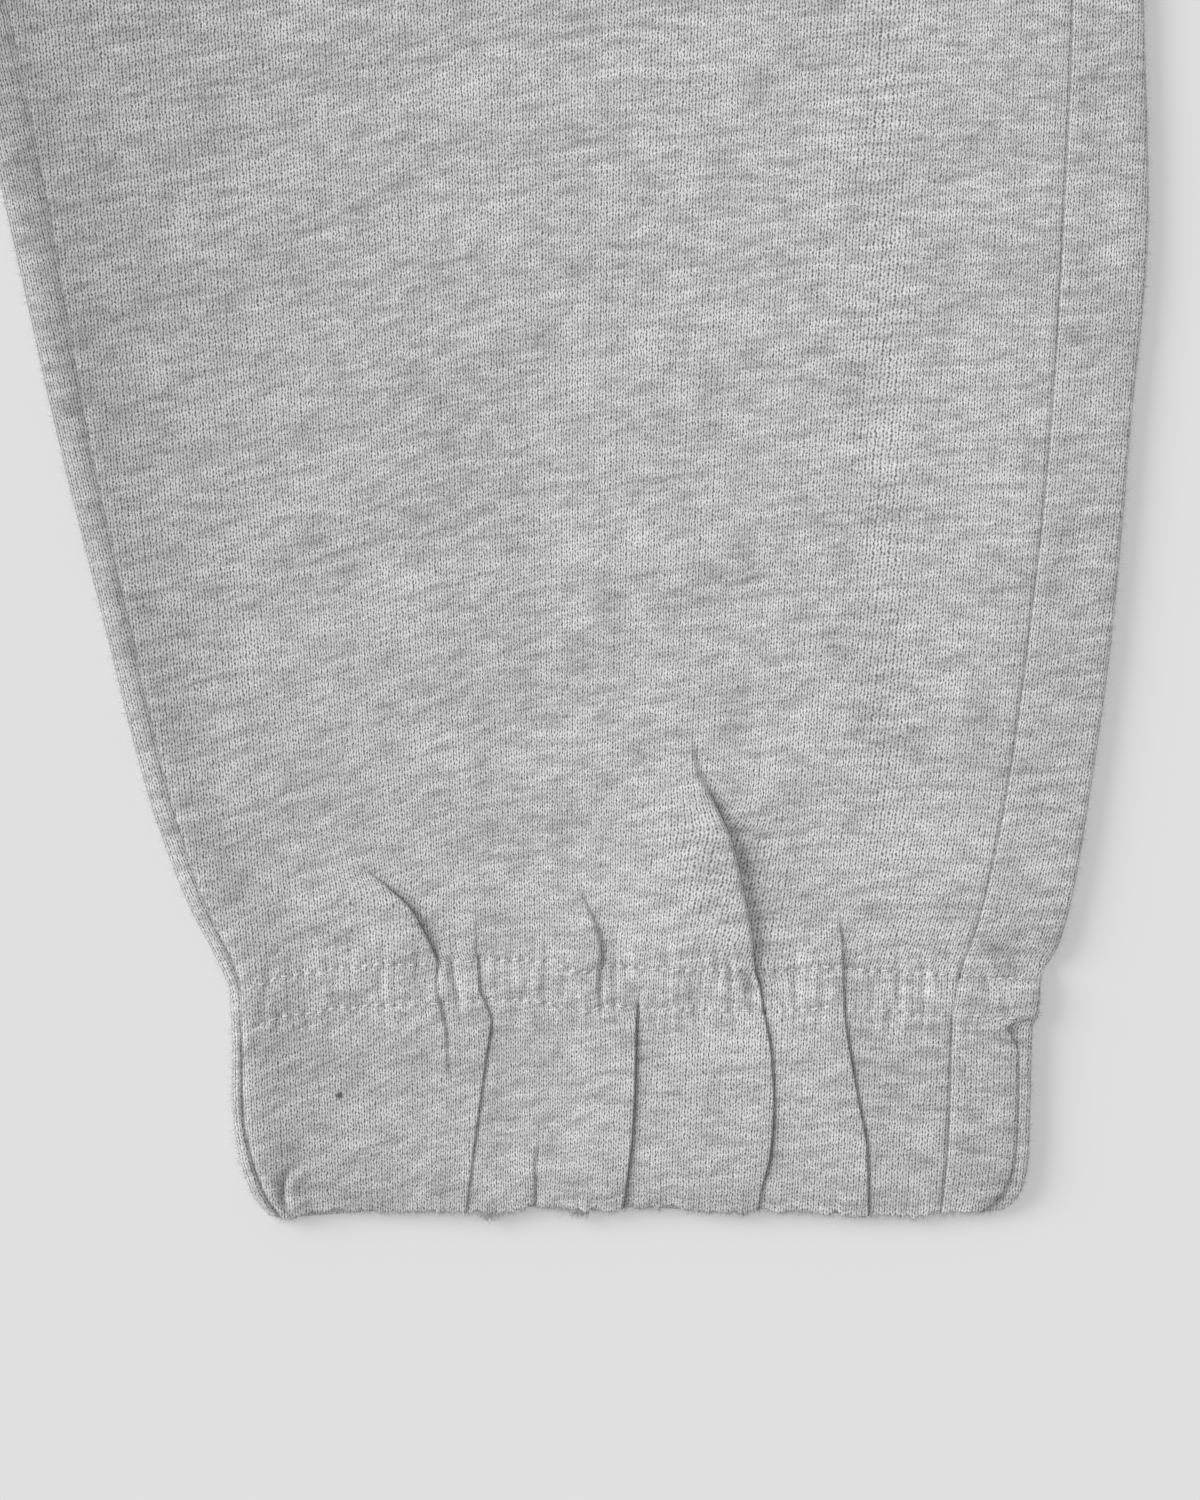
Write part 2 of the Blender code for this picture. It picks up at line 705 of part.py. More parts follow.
def build_back(leg):
    """Back of a leg: along the table from the inseam, round the outer fold and up to the outseam."""
    outer, inner = [], []
    for rise, _ in wall_rows():
        wall, opening = wall_at(rise), open_edge_at(rise)
        seat = edge_level(rise) - SEAM_GAP / 2
        start, end, seam = inseam_at(rise), fold_at(rise), outseam_at(rise) + SEAM_GAP / 2
        turn = end - ROLL_REACH
        top = leg.crown(turn, rise)
        outer.append(
            back_lower(leg, rise, start, turn, 0.0, seat, opening, (0.0, 0.5, 1.7, ROLL_REACH), 2)
            + back_turn(leg, rise, turn, ROLL_REACH, 0.0, top, 6)
            + back_upper(leg, rise, turn, seam, 0.0, 3)
        )
        tuck = 0.9 * wall * opening
        inner.append(
            back_lower(leg, rise, start + tuck, turn, wall, seat, opening, (0.0, 0.5, ROLL_REACH), 2)
            + back_turn(leg, rise, turn, ROLL_REACH - 0.85 * wall, wall, top - wall, 3)
            + back_upper(leg, rise, turn, seam, wall, 2)
        )
    return cloth_object("back_" + leg.name, outer, inner, False, (0.41, 0.42, 0.43))


def back_lower(leg, rise, start, turn, level, seat, opening, steps, spans):
    """The stretch of a back's face that lies on the table, rising at the inseam to meet the front."""
    low = start + steps[-1]
    places = [start + step for step in steps[:-1]]
    places += [low + (turn - low) * part / spans for part in range(spans)]
    height = hem_rolled(level, wall_at(rise) / 2, rise)
    row = []
    for across in places:
        lifted = drawn_to_edge(height, seat, opening, across - start, steps[-1])
        row.append((LOWER + (across - start) / (turn - start), leg.point(across, rise, lifted, 0.0)))
    return row


def back_turn(leg, rise, turn, reach, low, high, parts):
    """The round of a back's face at the leg's outer fold."""
    row = []
    wall = wall_at(rise)
    lift = hem_rolled(0.0, wall / 2, rise) if low == 0.0 else hem_rolled(wall, wall / 2, rise) - wall
    for part in range(parts + 1):
        angle = math.pi * (part / parts - 0.5)
        upper = (math.sin(angle) + 1.0) / 2
        height = low + (high - low) * upper + lift * (1.0 - 2.0 * upper)
        row.append((TURN + part / parts, leg.point(turn + reach * math.cos(angle), rise, height, upper)))
    return row


def back_upper(leg, rise, turn, seam, under, spans):
    """The stretch of a back's face that lies on top, from the outer fold to the outseam."""
    row = []
    wall = wall_at(rise)
    for part in range(1, spans + 1):
        across = turn + (seam - turn) * part / spans
        top = leg.crown(across, rise)
        height = top - under if under == 0.0 else min(top, leg.plain_crown(across, rise) + EDGE_LOFT) - under
        middle = top - wall / 2
        row.append((UPPER + part / spans, leg.point(across, rise, hem_rolled(height, middle, rise))))
    return row


def build_waistband():
    """Waistband: a flattened ring whose upper layer stands in gathers between its rounded sides."""
    ends = (WAIST_SEAM + SEAM_GAP / 2, BAND_TOP)
    rises = [ends[0], ends[0] + BAND_ROLL, 970.0, 978.0, 986.0, BAND_TOP - BAND_ROLL, BAND_TOP]
    outer = [band_ring(rise, 0.0, True) for rise in rises]
    inner = [band_ring(rise, BAND_WALL, rise in ends) for rise in rises]
    return cloth_object("waistband", outer, inner, True, (0.42, 0.43, 0.44))


def band_ring(rise, inset, gathered):
    """Returns one ring of the waistband's face, inset from its outside, with a column at each gather or only a few."""
    edge = min(rise - WAIST_SEAM, BAND_TOP - rise)
    lip = 0.6 * (1.0 - rolled(edge, BAND_ROLL)) * (1.0 if inset == 0.0 else -0.3)
    low, high = inset + lip, BAND_HEIGHT - inset - lip
    reach = BAND_SIDE_REACH - 0.75 * inset
    turn = BAND_HALF_WIDTH - BAND_SIDE_REACH
    along = (rise - MIDDLE_RISE) * MM
    middle, half = (low + high) / 2, (high - low) / 2
    ring = []
    for part in range(BAND_LOWER_SPANS):
        share = part / BAND_LOWER_SPANS
        ring.append((LOWER + share, turn * (2.0 * share - 1.0), low))
    for part in range(BAND_TURN_SPANS):
        share = part / BAND_TURN_SPANS
        angle = math.pi * (share - 0.5)
        ring.append((TURN + share, turn + reach * math.cos(angle), middle + half * math.sin(angle)))
    depth = BAND_GATHER_DEPTH if inset == 0.0 else 0.0
    for across, dent in band_marks(turn, gathered):
        ring.append((UPPER + (turn - across) / (2.0 * turn + MM), across, high - depth * dent))
    for part in range(1, BAND_TURN_SPANS):
        share = part / BAND_TURN_SPANS
        angle = math.pi * (0.5 + share)
        ring.append((FAR_TURN + share, reach * math.cos(angle) - turn, middle + half * math.sin(angle)))
    return [(mark, (across * MM, along, height * MM)) for mark, across, height in ring]


def band_marks(turn, gathered):
    """Places across the waistband's upper layer from right to left, and how deep a gather's crease lies there."""
    if not gathered:
        return [(turn * (1.0 - 2.0 * part / 6), 0.0) for part in range(7)]
    spacing = 2.0 * turn / BAND_GATHERS
    creases = [turn - spacing * (index + 0.5 + 0.25 * math.sin(1.9 * index)) for index in range(BAND_GATHERS)]
    marks = [(turn, 0.0)]
    for index, crease in enumerate(creases):
        depth = 0.75 + 0.25 * math.sin(3.1 * index)
        marks.append((crease, depth))
        following = creases[index + 1] if index + 1 < len(creases) else -turn
        marks.append(((crease + following) / 2, 0.0))
    marks[-1] = (-turn, 0.0)
    return marks


def main():
    for thing in list(bpy.data.objects):
        bpy.data.objects.remove(thing)
    left = Leg("left", False, LEFT_PLEATS, LEFT_GATHERS, LEFT_RIPPLES)
    right = Leg("right", True, RIGHT_PLEATS, RIGHT_GATHERS, RIGHT_RIPPLES)
    for leg in (left, right):
        build_front(leg)
        build_back(leg)
    build_waistband()


main()
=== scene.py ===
"""Heather-grey jogger sweatpants lying flat, front up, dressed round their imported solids.

Every cut piece is a thin closed shell of sweatshirt jersey on its solid's form. Two rows of raised stitches
hold the hem's elastic casing. Above and below it the cloth folds into pleats that hang over their creases.

Frame: +Y towards the waist, +Z up from the table. Tables and sizes are in millimetres. "Rise" is a distance
above the hem's edge and "across" one from the garment's middle. Both legs are worked out on the +X side,
and the wearer's right leg is then mirrored.
"""

import logging
import math
from dataclasses import dataclass, field
from enum import Enum
from typing import Any, Iterable, Sequence

import bmesh
import bpy
import numpy as np
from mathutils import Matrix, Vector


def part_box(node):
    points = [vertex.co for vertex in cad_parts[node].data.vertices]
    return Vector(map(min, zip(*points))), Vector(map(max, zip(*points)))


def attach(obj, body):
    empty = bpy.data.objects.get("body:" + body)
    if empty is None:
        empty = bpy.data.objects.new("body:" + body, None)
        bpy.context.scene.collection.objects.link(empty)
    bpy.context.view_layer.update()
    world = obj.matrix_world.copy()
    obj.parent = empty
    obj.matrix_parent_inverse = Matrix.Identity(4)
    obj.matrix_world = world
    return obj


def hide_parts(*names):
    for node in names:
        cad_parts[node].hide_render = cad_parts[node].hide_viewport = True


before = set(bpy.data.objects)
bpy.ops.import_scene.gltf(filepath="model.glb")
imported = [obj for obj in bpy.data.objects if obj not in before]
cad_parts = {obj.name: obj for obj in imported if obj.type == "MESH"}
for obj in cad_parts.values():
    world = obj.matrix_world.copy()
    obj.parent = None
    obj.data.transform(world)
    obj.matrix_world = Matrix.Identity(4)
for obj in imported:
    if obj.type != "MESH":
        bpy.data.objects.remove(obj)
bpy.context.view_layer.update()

Array = np.ndarray
Points = Sequence[tuple[float, float]]
Faces = list[tuple[int, ...]]
log = logging.getLogger("joggers")

MM = 0.001

# Cloth
CLOTH = 1.4  # one layer of sweatshirt jersey
TURNED_UP = 1.6  # two layers, at the hem
HEM_WALL = 1.1  # and where they are pressed, at its very edge
BAND_WALL = 2.6  # two layers and the elastic, at the waist
LAYER_GAP = 0.3  # between two layers that lie on each other
SEAM_LINE = 0.03  # between two pieces that are sewn together

# Lengthwise stations
CASING_LOW = 33.5  # lower row of stitches
CASING_HIGH = 40.1  # upper row of stitches
CASING_MIDDLE = (CASING_LOW + CASING_HIGH) / 2
KNEE = 205.0
CROTCH = 700.0
WAIST_SEAM = 955.0
BAND_TOP = 1000.0
MIDDLE_RISE = BAND_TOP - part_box("waistband")[1].y / MM

# Edges
EDGE_LOFT = 1.3  # extra height of the inseam, with its seam allowance folded in
ROLL_REACH = 3.2  # how far in from an edge the cloth has rolled level
LOFT_REACH = 6.2  # how far in from an edge its loft is felt
HEM_ROLL = 0.35
HEM_EDGE = 0.6  # what is left of the wall at the hem's very edge, as a share
HEM_CORNER = 163.0  # where the hem's inseam corner ends
HEM_CORNER_REACH = 9.0
HEM_FADES = 10.0
HEM_TUCK = 0.3  # how much shorter the hem's lower layer is
HEM_STRAY = 0.2  # how far the knit's edge frays in and out
HEM_LOOP = 0.16  # how far each wale's loop stands out at the edge
LOOP_PITCH = 0.92
OUTER_LOFT = 0.4  # the outer fold's loft, as a share of the inseam's
SWAY_HEIGHT = 0.1  # unevenness of the level cloth

# Seams
RIDGE_SPAN = (-5.5, -1.2, -0.1)  # where the ridge beside the inseam starts, is highest and ends
SEAM_HIDDEN = 0.75  # share of a seam's groove that the casing hides
MIDDLE_SEAM = ((0.35, 0.9), (0.4, 0.25))  # depth and reach of the middle seam's dip and of its groove

# A pleat's own section
CREST_BACK = 1.3  # its highest line, back from its crease, where its lip hangs over
SLOPE_BACK = (0.5, 0.8)  # where one that only slopes starts to fall, back from its crease: plain, per lip
SLOPE_PAST = (0.2, 0.45)  # and where its fall ends, past the crease
SLIT_REACH = 0.42
WINDOW = (2.6, 1.6)  # how far its own columns reach back from the crease and past it
LEAD = np.array([-WINDOW[0], -1.9, -CREST_BACK])  # its columns before the lip
TAIL = np.array([0.42, 0.85, WINDOW[1]])  # and past it
LIP_ROUND = (-0.14, 0.34, 0.54, 0.46)  # centre and half sizes of the lip's round, along and up, per height
LIP_TURNS = np.radians(np.linspace(100.0, -90.0, 8))  # columns round the lip
POCKET = np.array([(-0.75, -0.2), (-0.35, -0.6), (0.06, -0.72)])  # the hidden turn under it, per height
LOW_LIP = 0.15  # a lip lower than this only slopes
FULL_LIP = 0.5  # and one higher hangs over its crease
SWALLOWED = 2.2  # cloth that a pleat and the gathers beside it take in at the casing
SWALLOW_SPREAD = 12.0  # how wide it is taken in where no lip hangs
SWALLOW_FADES = 150.0  # how far above the casing the cloth lies level again

# The casing
GATHER_REACH = 0.55
GATHER_SHARE = 0.38  # how far the elastic has drawn the gathers shut
CASING_GROOVE = 0.18  # depth of a stitched row
GROOVE_REACH = 0.8
UNDER_GROOVE = 0.3  # and on the back
CASING_SWELL = 0.25
STITCH_PITCH = 1.9
NEAR_STITCH = 0.4  # how far from a stitch's middle the cloth's direction is felt
STEEPEST_STITCH = 0.75
NEEDLE_DENT = 0.45
NEEDLE_REACH = 0.3
NEEDLE_STRAY = 0.13
PUCKER_HEIGHT = 0.075
PUCKERS_FADE = 4.5

# Gathers under the waistband, on each front
WAIST_GATHERS = 13
WAIST_GATHER_DEPTH = 1.2
WAIST_GATHER_REACH = 3.4
WAIST_GATHERS_FADE = 862.0
WAIST_WANDER = 0.27

# The knit's grain
GRAIN_MIDDLE = 217.0  # the wale that runs straight up the leg
LEAN_FADES = 320.0
FLARE_FADES = 15.0
STRIP_DARKER = 0.1  # how much darker the yarn is tinted on the strip past the inseam
FRILL_DARKER = 0.1  # and in the frill
BACK_DARKER = 0.35  # and on the back where it comes round to the outseam
STRIP_SHIFT = 3.4  # how far the strip's courses are out of step with the front's
BACK_SHIFT = 7.7  # and the back's
BACK_CLIMB = 0.1  # how far its courses fall for each millimetre across


class SmoothLine:
    """A smooth curve through points of (place, value), level past its ends and never overshooting."""

    def __init__(self, points: Points) -> None:
        """Works out the curve's slopes.

        Args:
            points: its points, in rising order of place.
        """
        self.places, self.values = np.array(points, float).T
        gaps = np.diff(self.places)
        slopes = np.diff(self.values) / gaps
        before, after = slopes[:-1], slopes[1:]
        turning = before * after <= 0.0
        weight_before, weight_after = 2.0 * gaps[1:] + gaps[:-1], gaps[1:] + 2.0 * gaps[:-1]
        spread = weight_before / np.where(turning, 1.0, before)
        spread = spread + weight_after / np.where(turning, 1.0, after)
        middle = np.where(turning, 0.0, (weight_before + weight_after) / spread)
        self.tangents = np.concatenate([slopes[:1], middle, slopes[-1:]])

    def __call__(self, place: Any) -> Any:
        """Reads the curve.

        Args:
            place: one place, or an array of them.

        Returns:
            The value at each place.
        """
        held = np.clip(place, self.places[0], self.places[-1])
        index = np.clip(np.searchsorted(self.places, held, side="right") - 1, 0, len(self.places) - 2)
        gap = self.places[index + 1] - self.places[index]
        part = (held - self.places[index]) / gap
        rest = 1.0 - part
        start = self.values[index] * (1.0 + 2.0 * part) * rest**2
        end = self.values[index + 1] * part**2 * (3.0 - 2.0 * part)
        sloped = self.tangents[index] * part * rest**2 - self.tangents[index + 1] * part**2 * rest
        return start + end + gap * sloped


class Waver:
    """A smooth, repeatable unevenness over the cloth, from a few waves of unlike length and direction."""

    def __init__(self, seed: int, longest: float, shortest: float, spread: float = math.pi) -> None:
        """Draws the waves.

        Args:
            seed: the number that fixes the draw.
            longest: the longest wave.
            shortest: the shortest wave.
            spread: how widely their directions differ, in radians; 0 keeps them all across the leg.
        """
        draw, waves = np.random.default_rng(seed), 11
        lengths = longest * (shortest / longest) ** (np.arange(waves) / (waves - 1))
        angles = draw.uniform(-0.5, 0.5, waves) * spread
        self.pitches = 2.0 * math.pi * np.cos(angles) / lengths, 2.0 * math.pi * np.sin(angles) / lengths
        self.phases = draw.uniform(0.0, 2.0 * math.pi, waves)

    def __call__(self, across: Array, rise: Any) -> Array:
        """Reads the unevenness, about 1 high, at each place."""
        waves = [np.cos(a * across + b * rise + phase) for a, b, phase in zip(*self.pitches, self.phases)]
        return sum(waves) * math.sqrt(2.0 / len(waves))


def rolled(depth: Any, radius: float) -> Any:
    """Share of its full height that a rounded edge has reached at a depth in from it."""
    return np.sqrt(1.0 - (1.0 - np.clip(depth / radius, 0.0, 1.0)) ** 2)


def bell(distance: Any, reach: float) -> Any:
    """A soft bump, 1 at no distance."""
    return np.exp(-((distance / reach) ** 2))


def eased(value: Any, low: float, high: float) -> Any:
    """Share of the way from low to high, easing in and out."""
    part = np.clip((value - low) / (high - low), 0.0, 1.0)
    return part * part * (3.0 - 2.0 * part)


def passed(across: Array, height: Array) -> Array:
    """Length of a section's path so far, at each of its points."""
    return np.concatenate([[0.0], np.cumsum(np.hypot(np.diff(across), np.diff(height)))])


# The leg's outline, as (rise, inseam's edge, outseam on the front, outer fold)
SECTIONS = (
    (0, 159.4, 270.4, 280.6), (2, 157.6, 270.7, 282.9), (5, 156.2, 271.0, 284.2), (11, 154.6, 271.5, 285.0),
    (20, 153.6, 271.9, 285.2), (32.3, 153.45, 272.2, 285.6), (33.8, 153.4, 272.4, 286.5),
    (36, 153.3, 272.7, 286.7), (41, 153.0, 273.7, 287.1), (43.5, 152.1, 274.6, 288.6),
    (46, 150.9, 275.6, 289.9), (55, 146.1, 278.1, 292.4), (70, 140.1, 281.2, 295.0),
    (95, 133.0, 284.9, 298.6), (130, 124.2, 288.6, 301.8), (165, 116.3, 290.7, 304.7),
    (200, 108.0, 292.1, 303.9), (380, 69.0, 285.5, 297.5), (560, 31.0, 281.0, 293.5),
    (655, 11.0, 279.0, 292.0), (690, 2.6, 278.0, 291.0),
    (CROTCH, SEAM_LINE / 2, 277.5, 290.5), (790, SEAM_LINE / 2, 265.0, 278.0),
    (855, SEAM_LINE / 2, 244.5, 257.5), (905, SEAM_LINE / 2, 218.0, 230.5),
    (WAIST_SEAM, SEAM_LINE / 2, 177.5, 189.0),
)
inseam_at, outseam_at, fold_at = (
    SmoothLine([(row[0], row[side]) for row in SECTIONS]) for side in (1, 2, 3)
)

# How far the inseam has rolled forward onto the front, by rise
roll_at = SmoothLine((
    (0, 2.4), (10, 2.1), (20, 1.8), (30, 1.8), (40, 1.95), (47, 2.6), (60, 3.3), (90, 4.3), (126, 5.3),
    (144, 6.2), (168, 7.4), (195, 8.2), (300, 8.4), (500, 6.0), (640, 2.2), (690, 0.8),
))
# How high the front cloth stands off the back in the middle of the leg, by rise
loft_at = SmoothLine((
    (0, 0.15), (17, 1.1), (30, 1.0), (37, 0.8), (50, 1.7), (80, 1.5), (140, 0.9), (400, 0.9), (700, 1.3),
    (900, 1.2), (WAIST_SEAM, 1.6),
))
# How far the casing runs above or below its level, by place across, and its share of that by rise
bow_at = SmoothLine((
    (152, -4.2), (155, -3.5), (158, -2.4), (162, -1.1), (170, 0.0), (176, 0.8), (187, 1.2), (196, 1.7),
    (204, 1.4), (211, 0.1), (215, 0.6), (224, 0.25), (234, 0.1), (243, -0.1), (252, 0.35), (259, -0.1),
    (270, -0.6), (280, -1.3), (287, -1.7),
))
bow_share_at = SmoothLine(((0, 0.0), (CASING_LOW, 1.0), (CASING_HIGH, 1.0), (CASING_HIGH + 60.0, 0.0)))
# How far the front's hem strays above its level, by place across
front_hem_at = SmoothLine((
    (163, -0.2), (168, 0.1), (173, 0.2), (178, 0.25), (190, 0.25), (193.5, 0.15), (196, 0.05), (198.5, 0.2),
    (201.5, 0.85), (207.2, 1.15), (209.3, 0.45), (211.5, 0.5), (213.5, 0.7), (216, 0.4), (219, 1.15),
    (221, 0.7), (224, 1.2), (226, 1.25), (230, 0.25), (234, 0.4), (237, 0.05), (241, 0.6), (245, 0.35),
    (249, 0.0), (252, 0.2), (256, -0.6), (258, -0.5), (261, -0.15), (264, -0.65), (268, -0.45), (271, 0.0),
    (275, 0.05), (280, 0.1),
))
# And how far its two ends do
hem_end_at = SmoothLine((
    (157, 0.0), (160.5, -0.6), (162.5, -0.9), (164, -0.65), (165.5, -0.1), (168, 0.35), (172, 0.35),
    (178, 0.1), (184, 0.0), (266, 0.0), (272, 0.1), (276, 0.2), (279, 0.3), (283, 0.5),
))
wall_at = SmoothLine((
    (0, HEM_WALL), (6, TURNED_UP), (CASING_HIGH, TURNED_UP), (CASING_HIGH + 4, CLOTH), (WAIST_SEAM, CLOTH),
))
open_edge_at = SmoothLine(((CROTCH - 10, 1.0), (CROTCH + 30, 0.0)))
# How far lips hang over, by rise; then the trough past a crease, as a share of its lip and its reach, and a
# narrow slit at its bottom
hangs_at = SmoothLine(((63, 1.0), (73, 0.0)))
dip_share_at = SmoothLine(((0, 0.08), (36, 0.08), (46, 0.42)))
dip_reach_at = SmoothLine(((0, 0.9), (36, 0.9), (46, 2.8)))
slit_share_at = SmoothLine(((0, 0.9), (34, 0.87), (38, 0.62), (46, 0.08)))
# By place across: how far the wales lean towards the outseam for each millimetre up, and how far the
# gathers draw them aside above the casing
wale_lean_at = SmoothLine(((120, -0.09), (169, -0.03), (205, 0.0), (235, 0.03), (265, 0.05), (290, 0.04)))
wale_flare_at = SmoothLine((
    (196, 0.0), (208, 1.0), (222, 1.4), (234, 2.2), (246, 1.2), (256, 2.0), (266, 4.5), (284, 5.5),
))
# How far a course has climbed since the leg's inseam, and how much darker the yarn is tinted, as a share
course_climb_at = SmoothLine((
    (60, -30), (120, -16.4), (169, -6.2), (190, 0.0), (211, 4.4), (232, 7.6), (252, 9.7), (273, 11.1),
    (300, 12),
))
darker_share_at = SmoothLine(((125, 1.0), (150, 0.6), (175, 0.3), (205, 0.12), (235, 0.0)))
# How far in from the outer fold the top layer's edge lies, by rise, and its share in the fold's section
shelf_at = SmoothLine((
    (0, 3.7), (3, 3.4), (7, 2.7), (13, 2.35), (20, 2.3), (28, 2.4), (30, 3.2), (31.5, 4.3), (33, 5.2),
))
shelf_share_at = SmoothLine(((0, 1.0), (31.6, 1.0), (33.0, 0.6), (34.0, 0.0)))

frayed = Waver(3, 9.0, 1.7, spread=0.0)


@dataclass
class Pleat:
    """A large fold of the front whose lip hangs over its crease.

    Attributes:
        courses: the crease's places, as (rise, across).
        lips: how high its lip stands, as (rise, height).
        reach: how wide its raised side is.
        facing: 1 where the lip is on the inseam's side of its crease, and -1 where it is on the outseam's.
        hang: how far its lip may hang over, from 0 to 1.
    """

    courses: Points
    lips: Points
    reach: float
    facing: int = 1
    hang: float = 1.0

    def __post_init__(self) -> None:
        """Draws its smooth course and its lip's height."""
        self.course, self.lip = SmoothLine(self.courses), SmoothLine(self.lips)

    def window(self, rise: float) -> list[float]:
        """Returns the places across between which the pleat has columns of its own."""
        back, past = WINDOW[::self.facing]
        return [float(self.course(rise)) - back, float(self.course(rise)) + past]

    def state(self, rise: float) -> tuple[float, float]:
        """Returns how high the lip stands and how far it hangs over, from 0 to 1."""
        lip = float(self.lip(rise))
        return lip, float(eased(lip, LOW_LIP, FULL_LIP) * hangs_at(rise)) * self.hang

    def lift(self, across: Array, rise: float) -> Array:
        """How far the pleat lifts or lowers the cloth, with its fall as a plain slope.

        Args:
            across: places across the leg.
            rise: where along it.

        Returns:
            The lift at each place, below zero in the trough past the crease.
        """
        lip, hanging = self.state(rise)
        past = (across - float(self.course(rise))) * self.facing
        back = hanging * CREST_BACK + (1.0 - hanging) * (SLOPE_BACK[0] + SLOPE_BACK[1] * lip)
        crest = bell(np.maximum(-past - back, 0.0), self.reach)
        ahead = np.maximum(past, 0.0)
        dip = dip_share_at(rise) * np.exp(-ahead / dip_reach_at(rise))
        dip = dip + slit_share_at(rise) * bell(ahead, SLIT_REACH)
        fall = eased(past, -back, SLOPE_PAST[0] + SLOPE_PAST[1] * lip)
        return lip * (crest * (1.0 - fall) - dip * fall)

    def section(self, rise: float) -> tuple[Array, Array, Array, Array]:
        """Works out the pleat's own columns, over its lip, into the pocket under it and out again.

        Args:
            rise: where along the leg.

        Returns:
            For each column its place were the cloth flat, its real place, its lift, and how much more cloth
            than that place says lies before it. They run from the inseam's side.
        """
        lip, hanging = self.state(rise)
        course = float(self.course(rise))
        centre, half, level, rise_half = LIP_ROUND
        depth = float(dip_share_at(rise) + slit_share_at(rise)) / -POCKET[-1, 1]
        over = np.concatenate([centre + half * np.cos(LIP_TURNS), POCKET[:, 0]]) * lip
        over_height = np.concatenate([level + rise_half * np.sin(LIP_TURNS), POCKET[:, 1] * depth]) * lip
        flat = np.concatenate([LEAD, np.linspace(-1.0, 0.3, len(over)), TAIL])
        sloped = self.lift(course + flat * self.facing, rise)
        place = flat + hanging * (np.concatenate([LEAD, over, TAIL]) - flat)
        height = sloped + hanging * (np.concatenate([sloped[:3], over_height, sloped[-3:]]) - sloped)
        if self.facing < 0:
            flat, place, height = -flat[::-1], -place[::-1], height[::-1]
        return course + flat, course + place, height, passed(place, height) - (flat - flat[0])


@dataclass
class Gather:
    """A small crease that the elastic draws in the casing, and how far it runs on above and below."""

    across: float
    depth: float
    up: float
    down: float
    lean: float = 0.0  # how far it moves across for each millimetre up

    def __post_init__(self) -> None:
        """Draws how it dies out past the casing."""
        low, high = (CASING_LOW - self.down, 0.0), (CASING_HIGH + self.up, 0.0)
        self.share = SmoothLine((low, (CASING_LOW + 1.0, 1.0), (CASING_HIGH - 1.0, 1.0), high))

    def lift(self, across: Array, rise: float) -> Array:
        """How far it lifts the cloth, below zero."""
        distance = np.abs(across - self.across - self.lean * (rise - CASING_MIDDLE)) / GATHER_REACH
        return -GATHER_SHARE * self.depth * float(self.share(rise)) * np.exp(-(distance**1.4))


@dataclass(frozen=True)
class Ripple:
    """A broad soft ridge of the cloth, or a trough where its height is negative."""

    across: float
    rise: float
    length: float
    width: float
    lean: float  # degrees, from straight up towards the outseam
    height: float

    def lift(self, across: Array, rise: float) -> Array:
        """How far it lifts or lowers the cloth.

        Args:
            across: places across the leg.
            rise: where along it.

        Returns:
            The lift at each place.
        """
        turn = math.radians(self.lean)
        aside, along = across - self.across, rise - self.rise
        lengthwise = along * math.cos(turn) + aside * math.sin(turn)
        crosswise = aside * math.cos(turn) - along * math.sin(turn)
        return self.height * bell(lengthwise, self.length / 2) * bell(crosswise, self.width / 2)


@dataclass(frozen=True)
class Curl:
    """A small crease bent like a hook, open towards the outseam, with the cloth inside it pushed up."""

    across: float
    rise: float
    radius: float
    opening: float  # degrees, each way from the outseam's side
    depth: float
    width: float

    def lift(self, across: Array, rise: float) -> Array:
        """How far it lifts or lowers the cloth.

        Args:
            across: places across the leg.
            rise: where along it.

        Returns:
            The lift at each place.
        """
        aside, along = across - self.across, (rise - self.rise) * 0.9
        away = np.hypot(aside, along) - self.radius
        turned = np.degrees(np.abs(np.arctan2(along, aside)))
        share = eased(turned, 180.0 - self.opening - 30.0, 180.0 - self.opening + 30.0)
        crease = (0.3 + 0.7 * eased(turned, 120.0, 170.0)) * bell(away, self.width)
        return share * self.depth * (0.22 * bell(away + 1.6, 1.2) - crease)


def lifted(folds: Iterable[Any], across: Array, rise: float) -> Array:
    """How far several folds together lift or lower the cloth."""
    return sum((fold.lift(across, rise) for fold in folds), np.zeros_like(across))


